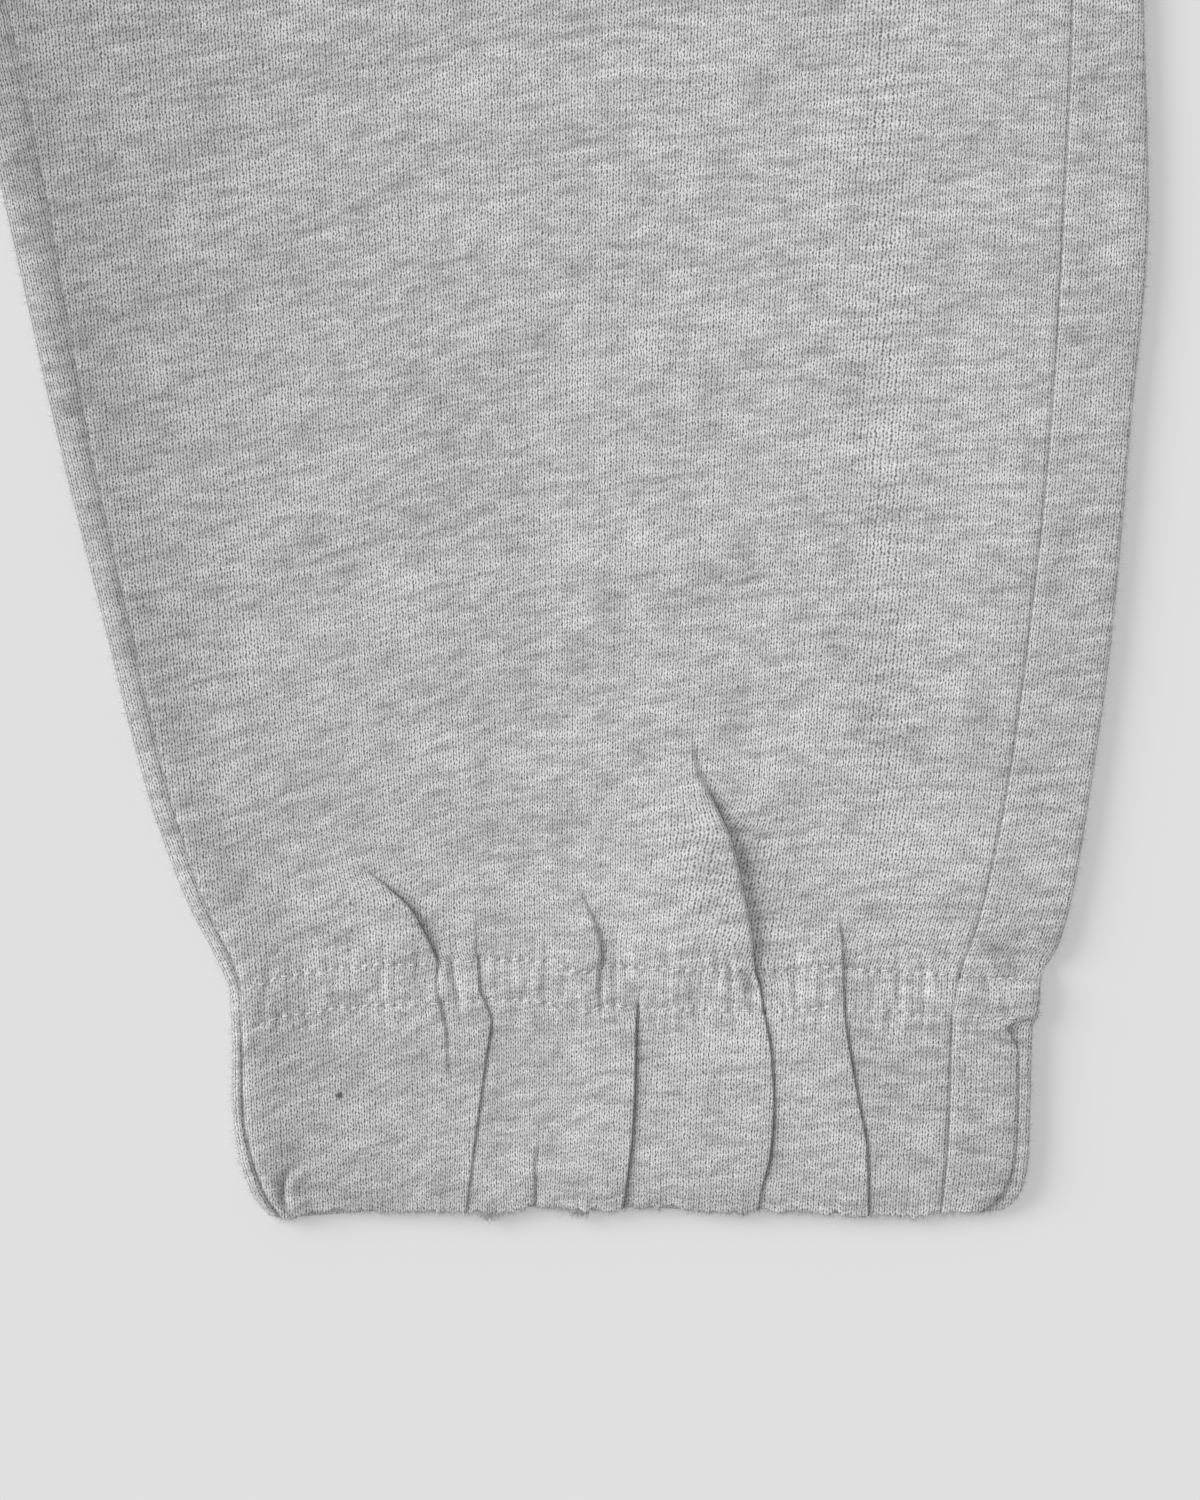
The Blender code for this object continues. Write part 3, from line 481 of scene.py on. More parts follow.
LEFT_PLEATS = (
    Pleat(
        ((0, 186.6), (12, 188.4), (18, 189.6), (24.4, 189.3), (28.5, 189.0), (36.8, 187.3), (40.5, 187.2),
         (42, 186.6), (46, 184.7), (49.2, 182.9), (52, 180.1), (55.4, 176.5), (59, 172.6), (62, 169.5)),
        ((20, 0), (25, 0.22), (30, 0.35), (36, 0.3), (40, 0.6), (42, 1.15), (46, 1.5), (50, 1.5),
         (53, 0.95), (55, 0.35), (57, 0)), 9, 1, 0.85,
    ),
    Pleat(
        ((0, 192.0), (10.4, 193.4), (24.4, 195.4), (30.2, 196.2), (33.2, 195.2), (35.2, 194.2), (38, 194.0),
         (45, 193.9)),
        ((0, 0.4), (27, 0.42), (32.5, 0.4), (34.5, 0.45), (40, 0.5), (42, 0.25), (46, 0.15), (50, 0)), 6,
    ),
    Pleat(
        ((0, 203.4), (7, 203.6), (14, 204.4), (90, 204.4)),
        ((0, 0.6), (4, 0.5), (9, 0.2), (14, 0)), 4, 1, 0.5,
    ),
    Pleat(
        ((0, 211.5), (12, 213), (28, 214.6), (35.1, 214.2), (39.3, 214.0), (41.7, 214.5), (46.7, 213.7),
         (50.8, 212.2), (60, 208.8)),
        ((30, 0), (34, 0.3), (39, 0.55), (42, 1.05), (45, 1.05), (48, 0.6), (51, 0.3), (54, 0.1), (58, 0)),
        7, 1, 0.5,
    ),
    Pleat(
        ((0, 217.8), (12, 219.2), (20.3, 219.7), (31.8, 220.0), (37.6, 221.0), (60, 221)),
        ((0, 0.75), (5, 0.85), (26, 0.9), (32.5, 0.6), (35, 0.2), (38, 0)), 8,
    ),
    Pleat(
        ((0, 240.0), (3, 240.5), (9.6, 242.0), (17.8, 242.6), (26.1, 242.2), (34.3, 240.8), (37.6, 240.3),
         (39.8, 239.5), (47.5, 238.6), (52.5, 237.5), (59, 236.1), (65, 234.1), (71, 231.5), (74.5, 230.2),
         (79.7, 229.4), (92, 228.8)),
        ((0, 0.58), (20, 0.68), (32, 0.66), (36.8, 0.7), (41, 1.65), (50, 2.2), (62, 2.3), (67, 1.8),
         (71, 1.1), (75, 0.45), (78, 0.12), (82, 0)), 12,
    ),
    Pleat(
        ((0, 258.3), (11.2, 257.9), (17.8, 256.7), (25.2, 255.4), (31.8, 254.4), (36.8, 254.1),
         (50, 253.8)),
        ((0, 0.55), (10, 0.65), (20, 0.6), (28, 0.55), (33, 0.5), (38, 0.55), (44, 0.5), (50, 0)), 7,
    ),
)
RIGHT_PLEATS = (
    Pleat(
        ((2, 176.8), (20, 174.6), (36.8, 173.2), (50, 174.0), (58, 176.0)),
        ((0, 1.0), (26, 1.0), (36.8, 0.5), (48, 1.0), (58, 0)), 8, -1,
    ),
    Pleat(
        ((2, 195.4), (20, 193.8), (36.8, 195.2), (50, 196.4), (62, 197.0), (76, 200.0)),
        ((0, 1.2), (26, 1.2), (36.8, 0.8), (49, 1.6), (62, 1.2), (76, 0)), 11, -1,
    ),
    Pleat(
        ((2, 213.2), (20, 214.4), (36.8, 213.0), (50, 212.4), (59, 212.0)),
        ((0, 1.0), (26, 1.0), (36.8, 0.5), (47, 0)), 8,
    ),
    Pleat(
        ((2, 231.2), (20, 229.0), (36.8, 230.6), (50, 233.0), (70, 234.6), (90, 240.0)),
        ((0, 1.1), (26, 1.1), (36.8, 0.8), (50, 1.5), (70, 1.4), (88, 0)), 10, -1,
    ),
    Pleat(
        ((2, 248.8), (20, 249.6), (36.8, 248.0), (50, 247.2), (59, 246.0)),
        ((0, 0.3), (26, 0.3), (36.8, 0.5), (46, 0.9), (55, 0)), 7, -1,
    ),
    Pleat(
        ((2, 263.0), (20, 262.2), (36.8, 260.8), (50, 261.6), (59, 262.6)),
        ((0, 1.1), (26, 1.1), (36.8, 0.6), (44, 0.4), (51, 0)), 8, -1,
    ),
)

# Rows of Gather
LEFT_GATHERS = (
    (166.0, 0.55, 5, 4), (173.3, 0.70, 9, 6), (178.6, 0.60, 6, 9), (190.3, 2.6, 1.5, 2, -0.2),
    (200.0, 0.50, 7, 4), (205.2, 0.75, 11, 8), (216.9, 1.0, 8, 5), (225.4, 0.85, 9, 7),
    (230.8, 1.2, 3, 6, 0.1), (235.9, 1.2, 4, 5, -0.1), (239.0, 2.4, 1, 1, -0.1), (246.4, 0.75, 8, 9),
    (259.0, 0.70, 10, 6), (263.4, 0.80, 7, 4), (267.4, 0.65, 9, 8),
)
RIGHT_GATHERS = (
    (163.5, 0.65, 8, 5), (168.4, 0.60, 5, 8), (180.0, 0.80, 10, 5), (185.6, 0.65, 7, 9),
    (190.2, 0.70, 12, 4), (201.6, 0.80, 8, 7), (206.8, 0.65, 6, 5), (219.4, 0.80, 11, 8),
    (224.6, 0.65, 8, 4), (237.2, 0.70, 7, 9), (242.4, 0.80, 10, 6), (254.6, 0.65, 6, 7), (267.0, 0.70, 9, 5),
)

# Rows of Ripple: broad ones
LEFT_RIPPLES = (
    (226, 104, 46, 17, -14, 0.7), (186, 100, 50, 15, -6, 0.5), (254, 88, 34, 13, -4, 0.5),
    (204, 108, 44, 8, -4, -0.5), (198, 300, 120, 22, -8, 0.8), (140, 402, 90, 18, -36, 0.9),
    (222, 450, 100, 16, 24, -0.7), (92, 560, 90, 15, -52, 0.9), (70, 640, 80, 11, -62, 1.1),
    (104, 668, 95, 12, -74, 0.9), (210, 660, 120, 20, 12, 0.7), (66, 742, 80, 11, -108, 1.0),
    (150, 836, 90, 18, 10, 0.7),
)
RIGHT_RIPPLES = (
    (206, 110, 52, 14, 9, 0.7), (240, 98, 42, 16, 12, 0.6), (178, 94, 36, 11, -8, 0.5),
    (168, 300, 110, 20, -20, -0.7), (214, 380, 100, 18, 18, 0.9), (120, 448, 100, 17, -34, 0.8),
    (206, 560, 110, 20, 6, 0.7), (76, 604, 84, 12, -56, 1.0), (86, 664, 90, 11, -70, 1.0),
    (118, 700, 90, 13, -92, 0.8), (58, 760, 74, 11, -116, 0.9), (166, 812, 96, 18, -6, 0.7),
)
# Small ones near the hem's ends and on the outseam's strip
LEFT_DETAILS = (
    (282.6, 43.4, 9.5, 3.8, 102, -1.8), (279.0, 47.5, 10, 4.0, 112, 0.35), (278.1, 39.0, 4.5, 0.9, 4, -0.6),
    (277.5, 35.9, 8, 3.2, 94, 0.4), (207.5, 8.9, 9, 1.6, 92, -0.3), (208.0, 6.0, 8, 3.4, 90, 0.3),
    (281.5, 107.5, 9, 1.1, 96, -0.3), (280.0, 101.5, 8, 1.0, 84, -0.28), (282.0, 96.6, 10, 1.2, 92, -0.32),
    (206.5, 58.0, 24, 4.0, -3, 0.35), (243.0, 78.0, 26, 12, -16, 0.3), (176.0, 72.0, 26, 8, -30, 0.25),
    (190.0, 60.0, 20, 6, -25, 0.25), (161.6, 5.2, 3.0, 1.2, -43, -0.45),
)
RIGHT_DETAILS = (
    (282.0, 42.4, 8, 3.2, 104, -0.7), (198.5, 9.4, 8, 1.6, 88, -0.3), (280.5, 118.0, 9, 1.1, 94, -0.3),
    (226.0, 60.0, 22, 5.0, 4, 0.35), (176.0, 66.0, 26, 8, -24, 0.25),
)
# Along the backs, which lie on the table: the cloth stands off it at each
UNDER_RIPPLES = [Ripple(*row) for row in (
    (168, 22, 56, 4, 3, 0.8), (184, 26, 64, 5, -4, 0.9), (203, 24, 60, 4, 2, 0.8), (221, 30, 78, 5, 6, 0.9),
    (240, 22, 54, 4, -3, 0.8), (258, 27, 66, 5, 5, 0.9), (196, 84, 60, 9, -6, 0.8),
    (236, 92, 70, 10, 8, 0.8), (170, 190, 120, 12, -12, 0.7), (236, 240, 150, 14, 10, 0.7),
    (150, 372, 110, 13, -30, 0.9),
    (206, 428, 120, 14, 22, 0.8), (110, 486, 100, 12, -44, 0.9), (78, 618, 80, 10, -60, 0.9),
    (120, 676, 110, 12, -78, 0.9), (90, 742, 90, 11, -104, 0.9), (196, 700, 130, 15, 8, 0.7),
    (140, 850, 110, 14, -4, 0.7),
)]


def stacked(rise: float) -> float:
    """Height of the back and the front lying on each other with no loft."""
    return 2.0 * float(wall_at(rise)) + LAYER_GAP


def hem_offset(across: Array, upper: Any) -> Array:
    """How far the hem's edge strays along the leg.

    Args:
        across: places across the leg.
        upper: 1 on the hem's upper layer and 0 on its lower one, which meet at the corner and the fold.

    Returns:
        The offset along the leg at each place.
    """
    inset = np.minimum(across - HEM_CORNER, float(fold_at(0.0)) - ROLL_REACH - across)
    share = np.clip(inset / HEM_CORNER_REACH, 0.0, 1.0)
    loops = HEM_LOOP * np.abs(np.sin(math.pi * across / LOOP_PITCH))
    front = front_hem_at(across) + HEM_STRAY * frayed(across, 0.0) - loops
    return share * (front + (1.0 - upper) * HEM_TUCK) + hem_end_at(across)


def hem_rolled(height: Any, middle: Any, rise: float) -> Any:
    """Draws a face's height in to the wall's middle where the hem's edge rounds off."""
    return middle + (height - middle) * max(HEM_EDGE, float(rolled(rise, HEM_ROLL)))


def drawn_to_edge(height: Array, rise: float, inset: Array, side: int = 0) -> Array:
    """Draws a face's height to the inseam's level where its edge rounds off, as far as the legs are open.

    Args:
        height: the heights.
        rise: where along the leg.
        inset: how far in from the edge each lies.
        side: 1 on the front, -1 on the back and 0 between them.

    Returns:
        The new heights.
    """
    seat = (stacked(rise) + EDGE_LOFT + side * SEAM_LINE) / 2
    return height + (seat - height) * float(open_edge_at(rise)) * (1.0 - rolled(inset, ROLL_REACH))


class Layout(Enum):
    """How the columns of a row are laid: how far apart, and whether every pleat has columns of its own."""

    HEM = (0.36, True)
    PLEATED = (0.9, True)
    STITCHED = (0.38, True)
    NEAR = (1.8, False)
    FAR = (5.0, False)
    WAIST = (2.2, False)


@dataclass(frozen=True)
class Run:
    """A stretch of a wall's rows: from and to which rise, how far apart, and how its columns are laid."""

    low: float
    high: float
    step: float
    layout: Layout

    def rises(self) -> list[float]:
        """Returns the rises of its rows, both ends included."""
        steps = max(1, round((self.high - self.low) / self.step))
        return [self.low + (self.high - self.low) * part / steps for part in range(steps + 1)]


def make_runs(*starts: tuple[float, float, Layout]) -> list[Run]:
    """Makes the runs from where each starts, its step and its layout; the last ends at the waist's seam."""
    ends = [start[0] for start in starts[1:]] + [WAIST_SEAM - SEAM_LINE / 2]
    return [Run(low, high, step, layout) for (low, step, layout), high in zip(starts, ends)]


FRONT_RUNS = make_runs(
    (0, 0.15, Layout.HEM), (0.6, 0.5, Layout.HEM), (10, 0.8, Layout.PLEATED), (29, 0.34, Layout.STITCHED),
    (46, 1.0, Layout.PLEATED), (92, 1.8, Layout.NEAR), (KNEE, 5, Layout.FAR), (685, 2.5, Layout.FAR),
    (735, 5, Layout.FAR), (860, 2.4, Layout.WAIST), (WAIST_SEAM - 4, 0.5, Layout.WAIST),
)
BACK_RUNS = make_runs(
    (0, 0.2, Layout.PLEATED), (HEM_ROLL, 1.0, Layout.PLEATED), (29, 0.5, Layout.PLEATED),
    (46, 1.6, Layout.PLEATED), (92, 2.6, Layout.NEAR), (KNEE, 7, Layout.FAR), (685, 3.5, Layout.FAR),
    (735, 7, Layout.FAR), (860, 4, Layout.FAR), (WAIST_SEAM - 4, 0.8, Layout.FAR),
)
STRIP_SHARES = np.array([0.0, 0.07, 0.18, 0.32, 0.48, 0.64, 0.8, 0.91, 1.0])  # of the inseam's strip
LEAD_STEPS = np.array([0.0, 0.25, 0.7, 1.5])  # columns that follow the inseam
TAIL_STEPS = np.array([1.7, 0.9, 0.4, 0.15, 0.0])  # columns that end at the outseam
BACK_LEAD = np.array([0.0, 0.2, 0.6, 1.2, 2.1])  # columns of the back that follow the inseam
UPPER_COLUMNS = {Layout.PLEATED: 14, Layout.NEAR: 8, Layout.FAR: 4}  # of the back's upper stretch
HIDDEN_STEPS = (3.5, 16.0)  # between the rows of a hidden face, up to just above the casing and past it


@dataclass
class Columns:
    """The columns of one row of a front's upper face.

    Attributes:
        marks: their places were the cloth flat, rising along the row.
        own: the number of the pleat that each belongs to, or -1.
        across: their real places.
        lift: what that pleat lifts each by.
        inside: how much of that pleat's hidden cloth lies before each.
    """

    marks: Array
    own: Array
    across: Array
    lift: Array
    inside: Array

    @property
    def strip(self) -> Array:
        """Whether each lies on the strip past the inseam."""
        return np.arange(len(self.marks)) < len(STRIP_SHARES)


@dataclass
class Row:
    """One line of a shell's points across the cloth.

    Attributes:
        marks: how far along the row each point is, rising.
        points: the points, in metres.
        cut: where each lies on the cut cloth, across and along its wales, in metres.
        pull: how much darker the yarn is tinted there, from 0 to 1.
    """

    marks: Array
    points: Array
    cut: Array
    pull: Any = 0.0


@dataclass
class LegForm:
    """Shape of one leg, worked out on the +X side.

    Attributes:
        name: which of the wearer's legs it is.
        sign: the side of the garment that it lies on.
        seed: the number that fixes its random draws.
        pleats: its pleats, from the inseam on.
        gathers: rows of Gather.
        ripples: rows of Ripple, broad ones that the hidden face follows too.
        details: rows of Ripple, small ones.
        curls: its curls.
    """

    name: str
    sign: float
    seed: int
    pleats: Sequence[Pleat]
    gathers: Sequence[Any]
    ripples: Sequence[Any]
    details: Sequence[Any]
    curls: Sequence[Curl]

    def __post_init__(self) -> None:
        """Makes its folds and draws its unevenness."""
        self.gathers = [Gather(*row) for row in self.gathers]
        self.ripples = [Ripple(*row) for row in self.ripples]
        self.details = [*(Ripple(*row) for row in self.details), *self.curls]
        self.puckers = Waver(self.seed, 6.0, 1.9, spread=0.5)
        self.sway = Waver(self.seed + 1, 46.0, 13.0)
        self.needle_stray = Waver(self.seed + 2, 40.0, 5.0, spread=0.0)

    def plain_crown(self, across: Array, rise: float) -> Array:
        """Height of the front's upper face with its loft and broad ripples alone.

        Args:
            across: places across the leg.
            rise: where along it.

        Returns:
            The height at each place.
        """
        start, end = float(inseam_at(rise)), float(fold_at(rise))
        share = np.clip((across - start) / (end - start), 0.0, 1.0)
        arch = np.sin(math.pi * share) ** 0.7 if rise < CROTCH else np.ones_like(across)
        loft = float(loft_at(rise)) * arch + lifted(self.ripples, across, rise)
        return stacked(rise) + np.maximum(loft, 0.0)

    def casing_relief(self, across: Array, rise: float) -> Array:
        """How far the casing's gathers, puckers, stitched rows and needle holes lift or lower the cloth.

        Args:
            across: places across the leg.
            rise: where along it.

        Returns:
            The lift at each place.
        """
        if not CASING_LOW - 14 < rise < CASING_HIGH + 16:
            return np.zeros_like(across)
        outside = max(CASING_LOW - rise, rise - CASING_HIGH, 0.0)
        total = lifted(self.gathers, across, rise) + CASING_SWELL * bell(rise - CASING_MIDDLE, 2.4)
        total += PUCKER_HEIGHT * bell(outside, PUCKERS_FADE) * self.puckers(across, rise)
        nearest = np.abs(across / STITCH_PITCH - np.round(across / STITCH_PITCH)) * STITCH_PITCH
        for row in (CASING_LOW, CASING_HIGH):
            away = rise - row - self.stray(across, row)
            total -= CASING_GROOVE * bell(away, GROOVE_REACH)
            total -= NEEDLE_DENT * bell(away, NEEDLE_REACH) * bell(nearest, NEEDLE_REACH)
        return total

    def stray(self, across: Array, row: float) -> Array:
        """How far a stitched row strays from its level."""
        return NEEDLE_STRAY * self.needle_stray(across, row)

    def waist_relief(self, across: Array, rise: float) -> Array:
        """How far the folds under the waistband lift or lower the cloth.

        Args:
            across: places across the leg.
            rise: where along it.

        Returns:
            The lift at each place.
        """
        if rise <= WAIST_GATHERS_FADE:
            return np.zeros_like(across)
        start, end = float(inseam_at(rise)), float(outseam_at(rise))
        share = (rise - WAIST_GATHERS_FADE) / (WAIST_SEAM - WAIST_GATHERS_FADE)
        fade = share * np.clip(np.minimum(across - start, end - across) / WAIST_GATHER_REACH, 0.0, 1.0)
        dent = np.zeros_like(across)
        for index in range(WAIST_GATHERS):
            wander = WAIST_WANDER * math.sin(2.4 * index + (1.0 if self.sign < 0 else 0.0))
            place = start + (end - start) / WAIST_GATHERS * (index + 0.5 + wander)
            dent += bell(across - place, WAIST_GATHER_REACH)
        return WAIST_GATHER_DEPTH * fade**1.5 * (0.5 - dent)

    def crown(self, across: Array, rise: float, columns: Columns | None = None) -> Array:
        """Height of the front's upper face with every fold.

        Args:
            across: places across the leg.
            rise: where along it.
            columns: the columns that the places are, where pleats have some of their own.

        Returns:
            The height at each place.
        """
        height = self.plain_crown(across, rise)
        opening = float(open_edge_at(rise))
        inset, outer = across - float(inseam_at(rise)), float(fold_at(rise)) - across
        edges = opening * bell(inset - LOFT_REACH / 2, LOFT_REACH) + OUTER_LOFT * bell(outer, LOFT_REACH)
        height += EDGE_LOFT * edges
        height += opening * self.inseam_relief(inset - float(roll_at(rise)), rise)
        height += self.outseam_relief(across - float(outseam_at(rise)), rise)
        height -= (1.0 - opening) * sum(depth * bell(inset, reach) for depth, reach in MIDDLE_SEAM)
        level = eased(np.minimum(inset, outer), 2.0, 14.0) * eased(rise, 40.0, 60.0)
        height += SWAY_HEIGHT * level * self.sway(across, rise)
        for index, pleat in enumerate(self.pleats):
            lift = pleat.lift(across, rise)
            height += lift if columns is None else np.where(columns.own == index, columns.lift, lift)
        height += self.casing_relief(across, rise) + self.waist_relief(across, rise)
        return height + lifted(self.details, across, rise)

    @staticmethod
    def inseam_relief(past: Array, rise: float) -> Array:
        """The rolled-forward inseam: a narrow groove, and the seam allowance's ridge on the edge's side.

        Args:
            past: distances past the inseam, towards the outseam.
            rise: where along the leg.

        Returns:
            The lift at each.
        """
        up = float(eased(rise, 30, 60))
        starts, highest, ends = RIDGE_SPAN
        ridge = (0.3 - 0.15 * up) * eased(past, starts, highest) * (1.0 - eased(past, highest, ends))
        share = 1.0 - SEAM_HIDDEN * float(bell(rise - CASING_MIDDLE, 4.5))
        return ridge - share * (0.95 - 0.72 * up) * bell(past, 0.38 + 0.12 * up)

    @staticmethod
    def outseam_relief(past: Array, rise: float) -> Array:
        """The outseam: a soft dip with a narrow groove along its middle, which the casing hides.

        Args:
            past: distances past the outseam, towards the outer fold.
            rise: where along the leg.

        Returns:
            The lift at each.
        """
        share = 1.0 - SEAM_HIDDEN * float(bell(rise - CASING_MIDDLE, 3.4))
        depth = 0.4 - 0.1 * float(eased(rise, 40.0, 50.0))
        return -0.12 * bell(past, 1.2) - share * depth * bell(past, 0.27)

    def stops(self, rise: float) -> list[float]:
        """Works out the places that part a row into plain spans.

        Args:
            rise: where along the leg.

        Returns:
            The row's start, both ends of each pleat's window, and the row's end.
        """
        start = float(inseam_at(rise)) + float(roll_at(rise)) + SEAM_LINE / 2 + LEAD_STEPS[-1]
        places = [place for pleat in self.pleats for place in pleat.window(rise)]
        return [start, *places, float(outseam_at(rise)) - SEAM_LINE / 2 - TAIL_STEPS[0]]

    def front_columns(self, rise: float, run: Run) -> Columns:
        """Lays the columns of one row of the front's upper face.

        Args:
            rise: where along the leg.
            run: the stretch of rows that it belongs to.

        Returns:
            The row's columns, as many as in every other row of the run.
        """
        step, pleated = run.layout.value
        start, roll = float(inseam_at(rise)), float(roll_at(rise))
        tail = float(outseam_at(rise)) - SEAM_LINE / 2 - TAIL_STEPS
        parts = []

        def lay_plain(places: Array) -> None:
            """Adds columns that belong to no pleat."""
            none = np.zeros_like(places)
            parts.append((places, none - 1, places, none, none))

        lay_plain(start + (roll - SEAM_LINE / 2) * STRIP_SHARES)
        lay_plain(start + roll + SEAM_LINE / 2 + LEAD_STEPS)
        here, there = self.stops(rise), self.stops(CASING_MIDDLE)
        if not pleated:
            here = [here[0], here[-1]]
            there = [float(inseam_at(run.low)), float(outseam_at(run.low))]
        for index in range(len(here) // 2):
            low, high = here[2 * index:2 * index + 2]
            count = max(2, round((there[2 * index + 1] - there[2 * index]) / step))
            lay_plain(np.linspace(low, high, count + 1)[1:-1])
            if index < len(here) // 2 - 1:
                flat, place, lift, inside = self.pleats[index].section(rise)
                parts.append((flat, np.full_like(flat, index), place, lift, inside))
        lay_plain(tail)
        return Columns(*(np.concatenate(part) for part in zip(*parts)))

    def taken_in(self, columns: Columns, rise: float) -> Array:
        """Cloth that the pleats between the grain's middle and each column take in.

        Args:
            columns: the columns.
            rise: where along the leg.

        Returns:
            The length of cloth at each, below zero on the inseam's side of the middle.
        """
        total = np.zeros_like(columns.marks)
        reached = math.exp(-max(0.0, rise - CASING_HIGH) / SWALLOW_FADES)
        for index, pleat in enumerate(self.pleats):
            past = columns.marks - float(pleat.course(rise))
            hidden = float(pleat.section(rise)[3][-1])
            drawn = SWALLOWED * reached - hidden
            before_middle = 1.0 if float(pleat.course(CASING_MIDDLE)) < GRAIN_MIDDLE else 0.0
            total += np.where(columns.own == index, columns.inside, hidden * (past > 0.0))
            total += drawn * eased(past, -SWALLOW_SPREAD, SWALLOW_SPREAD) - before_middle * (hidden + drawn)
        return total

    def place(self, across: Array, rise: float, height: Array, upper: Any = 1.0) -> Array:
        """Turns places on this leg into points of the garment.

        Args:
            across: places across the leg.
            rise: where along it.
            height: heights above the table.
            upper: 1 on the leg's upper layer, 0 on its lower.

        Returns:
            The points, in metres.
        """
        along = rise + bow_at(across) * float(bow_share_at(rise))
        along = along + max(0.0, 1.0 - rise / HEM_FADES) * hem_offset(across, upper)
        return np.stack([self.sign * across, along - MIDDLE_RISE, height], axis=1) * MM

    def front_cut(self, columns: Columns, rise: float) -> Array:
        """Works out where a front's columns lie on the cut cloth.

        Args:
            columns: the columns.
            rise: where along the leg.

        Returns:
            Their places across and along the wales, in metres.
        """
        marks, strip = columns.marks, columns.strip
        lean = wale_lean_at(marks) * LEAN_FADES * (1.0 - math.exp(-(rise - CASING_MIDDLE) / LEAN_FADES))
        flare = wale_flare_at(marks) * (1.0 - math.exp(-max(0.0, rise - CASING_HIGH) / FLARE_FADES))
        wale = marks - lean - flare + self.taken_in(columns, rise)
        u = np.where(strip, marks - float(inseam_at(rise)), wale)
        v = rise - course_climb_at(columns.across) + STRIP_SHIFT * strip
        return np.stack([u, v], axis=1) * MM


def make_object(
    name: str, points: Array, faces: Faces, material: bpy.types.Material, cut: Array | None = None,
    pull: Array | None = None,
) -> bpy.types.Object:
    """Makes an object, smooth and facing out.

    Args:
        name: its name.
        points: its points, in metres.
        faces: its faces.
        material: its finish.
        cut: where each point lies on the cut cloth, for its UV map; without it the faces face out already.
        pull: how much darker the yarn is tinted at each point.

    Returns:
        The object, in the scene.
    """
    data = bpy.data.meshes.new(name)
    data.from_pydata(points.tolist(), [], faces)
    if cut is not None:
        mesh = bmesh.new()
        mesh.from_mesh(data)
        bmesh.ops.recalc_face_normals(mesh, faces=mesh.faces)
        mesh.to_mesh(data)
        mesh.free()
        corners = np.zeros(len(data.loops), np.int32)
        data.loops.foreach_get("vertex_index", corners)
        data.uv_layers.new(name="cut").data.foreach_set("uv", cut[corners].astype(np.float32).ravel())
    if pull is not None:
        data.attributes.new("pull", "FLOAT", "POINT").data.foreach_set("value", pull.astype(np.float32))
    data.shade_smooth()
    data.materials.append(material)
    thing = bpy.data.objects.new(name, data)
    bpy.context.scene.collection.objects.link(thing)
    return thing


def tube_faces(first: int, rings: int, sides: int) -> Faces:
    """Makes the faces of a closed tube.

    Args:
        first: the number of its first vertex.
        rings: how many rings of vertices it has.
        sides: how many vertices a ring has.

    Returns:
        The faces, its two ends last.
    """
    last = first + (rings - 1) * sides
    faces = []
    for base in range(first, last, sides):
        for side in range(sides):
            near, far = base + side, base + (side + 1) % sides
            faces.append((near, far, far + sides, near + sides))
    return [*faces, tuple(range(first + sides - 1, first - 1, -1)), tuple(range(last, last + sides))]


@dataclass
class Line:
    """A line of a shell's vertices, with their marks."""

    marks: Array
    vertices: Array


class Shell:
    """A closed wall of cloth, built from rows of points on its outer and its inner face."""

    def __init__(self, name: str, ring_end: float | None = None) -> None:
        """Starts an empty shell.

        Args:
            name: its name.
            ring_end: the mark at which its rows close to rings, if they do.
        """
        self.name = name
        self.ring_end = ring_end
        self.rows: list[Row] = []
        self.faces: Faces = []
        self.count = 0

    def lay(self, row: Row) -> Line:
        """Adds a row's points.

        Args:
            row: the row.

        Returns:
            The line of its vertices.
        """
        line = Line(row.marks, np.arange(self.count, self.count + len(row.marks)))
        self.rows.append(row)
        self.count += len(row.marks)
        if self.ring_end is not None:
            line = Line(np.append(line.marks, self.ring_end), np.append(line.vertices, line.vertices[0]))
        return line

    def join(self, low: Line, high: Line) -> None:
        """Fills the space between two lines: with quads if they are as long, else with triangles.

        Args:
            low: one line.
            high: the line across the space from it.
        """
        a, b = low.vertices.tolist(), high.vertices.tolist()
        if len(a) == len(b):
            self.faces.extend(zip(a, a[1:], b[1:], b))
            return
        i = j = 0
        while i < len(a) - 1 or j < len(b) - 1:
            more_a, more_b = i + 1 < len(a), j + 1 < len(b)
            if more_a and (not more_b or low.marks[i + 1] <= high.marks[j + 1]):
                self.faces.append((a[i], a[i + 1], b[j]))
                i += 1
            else:
                self.faces.append((a[i], b[j + 1], b[j]))
                j += 1

    def cover(self, rows: Sequence[Row]) -> list[Line]:
        """Adds a face of the wall.

        Args:
            rows: its rows, in order.

        Returns:
            Their lines.
        """
        lines = [self.lay(row) for row in rows]
        for low, high in zip(lines, lines[1:]):
            self.join(low, high)
        return lines

    def close(self, outer: Sequence[Line], inner: Sequence[Line]) -> None:
        """Joins the outer and inner faces along their first and last rows."""
        self.join(inner[0], outer[0])
        self.join(outer[-1], inner[-1])

    def finish(self, material: bpy.types.Material) -> bpy.types.Object:
        """Makes the shell's object.

        Args:
            material: its finish.

        Returns:
            The object.
        """
        points = np.concatenate([row.points for row in self.rows])
        cut = np.concatenate([row.cut for row in self.rows])
        pull = np.concatenate([np.zeros(len(row.marks)) + row.pull for row in self.rows])
        return make_object(self.name, points, self.faces, material, cut, pull)


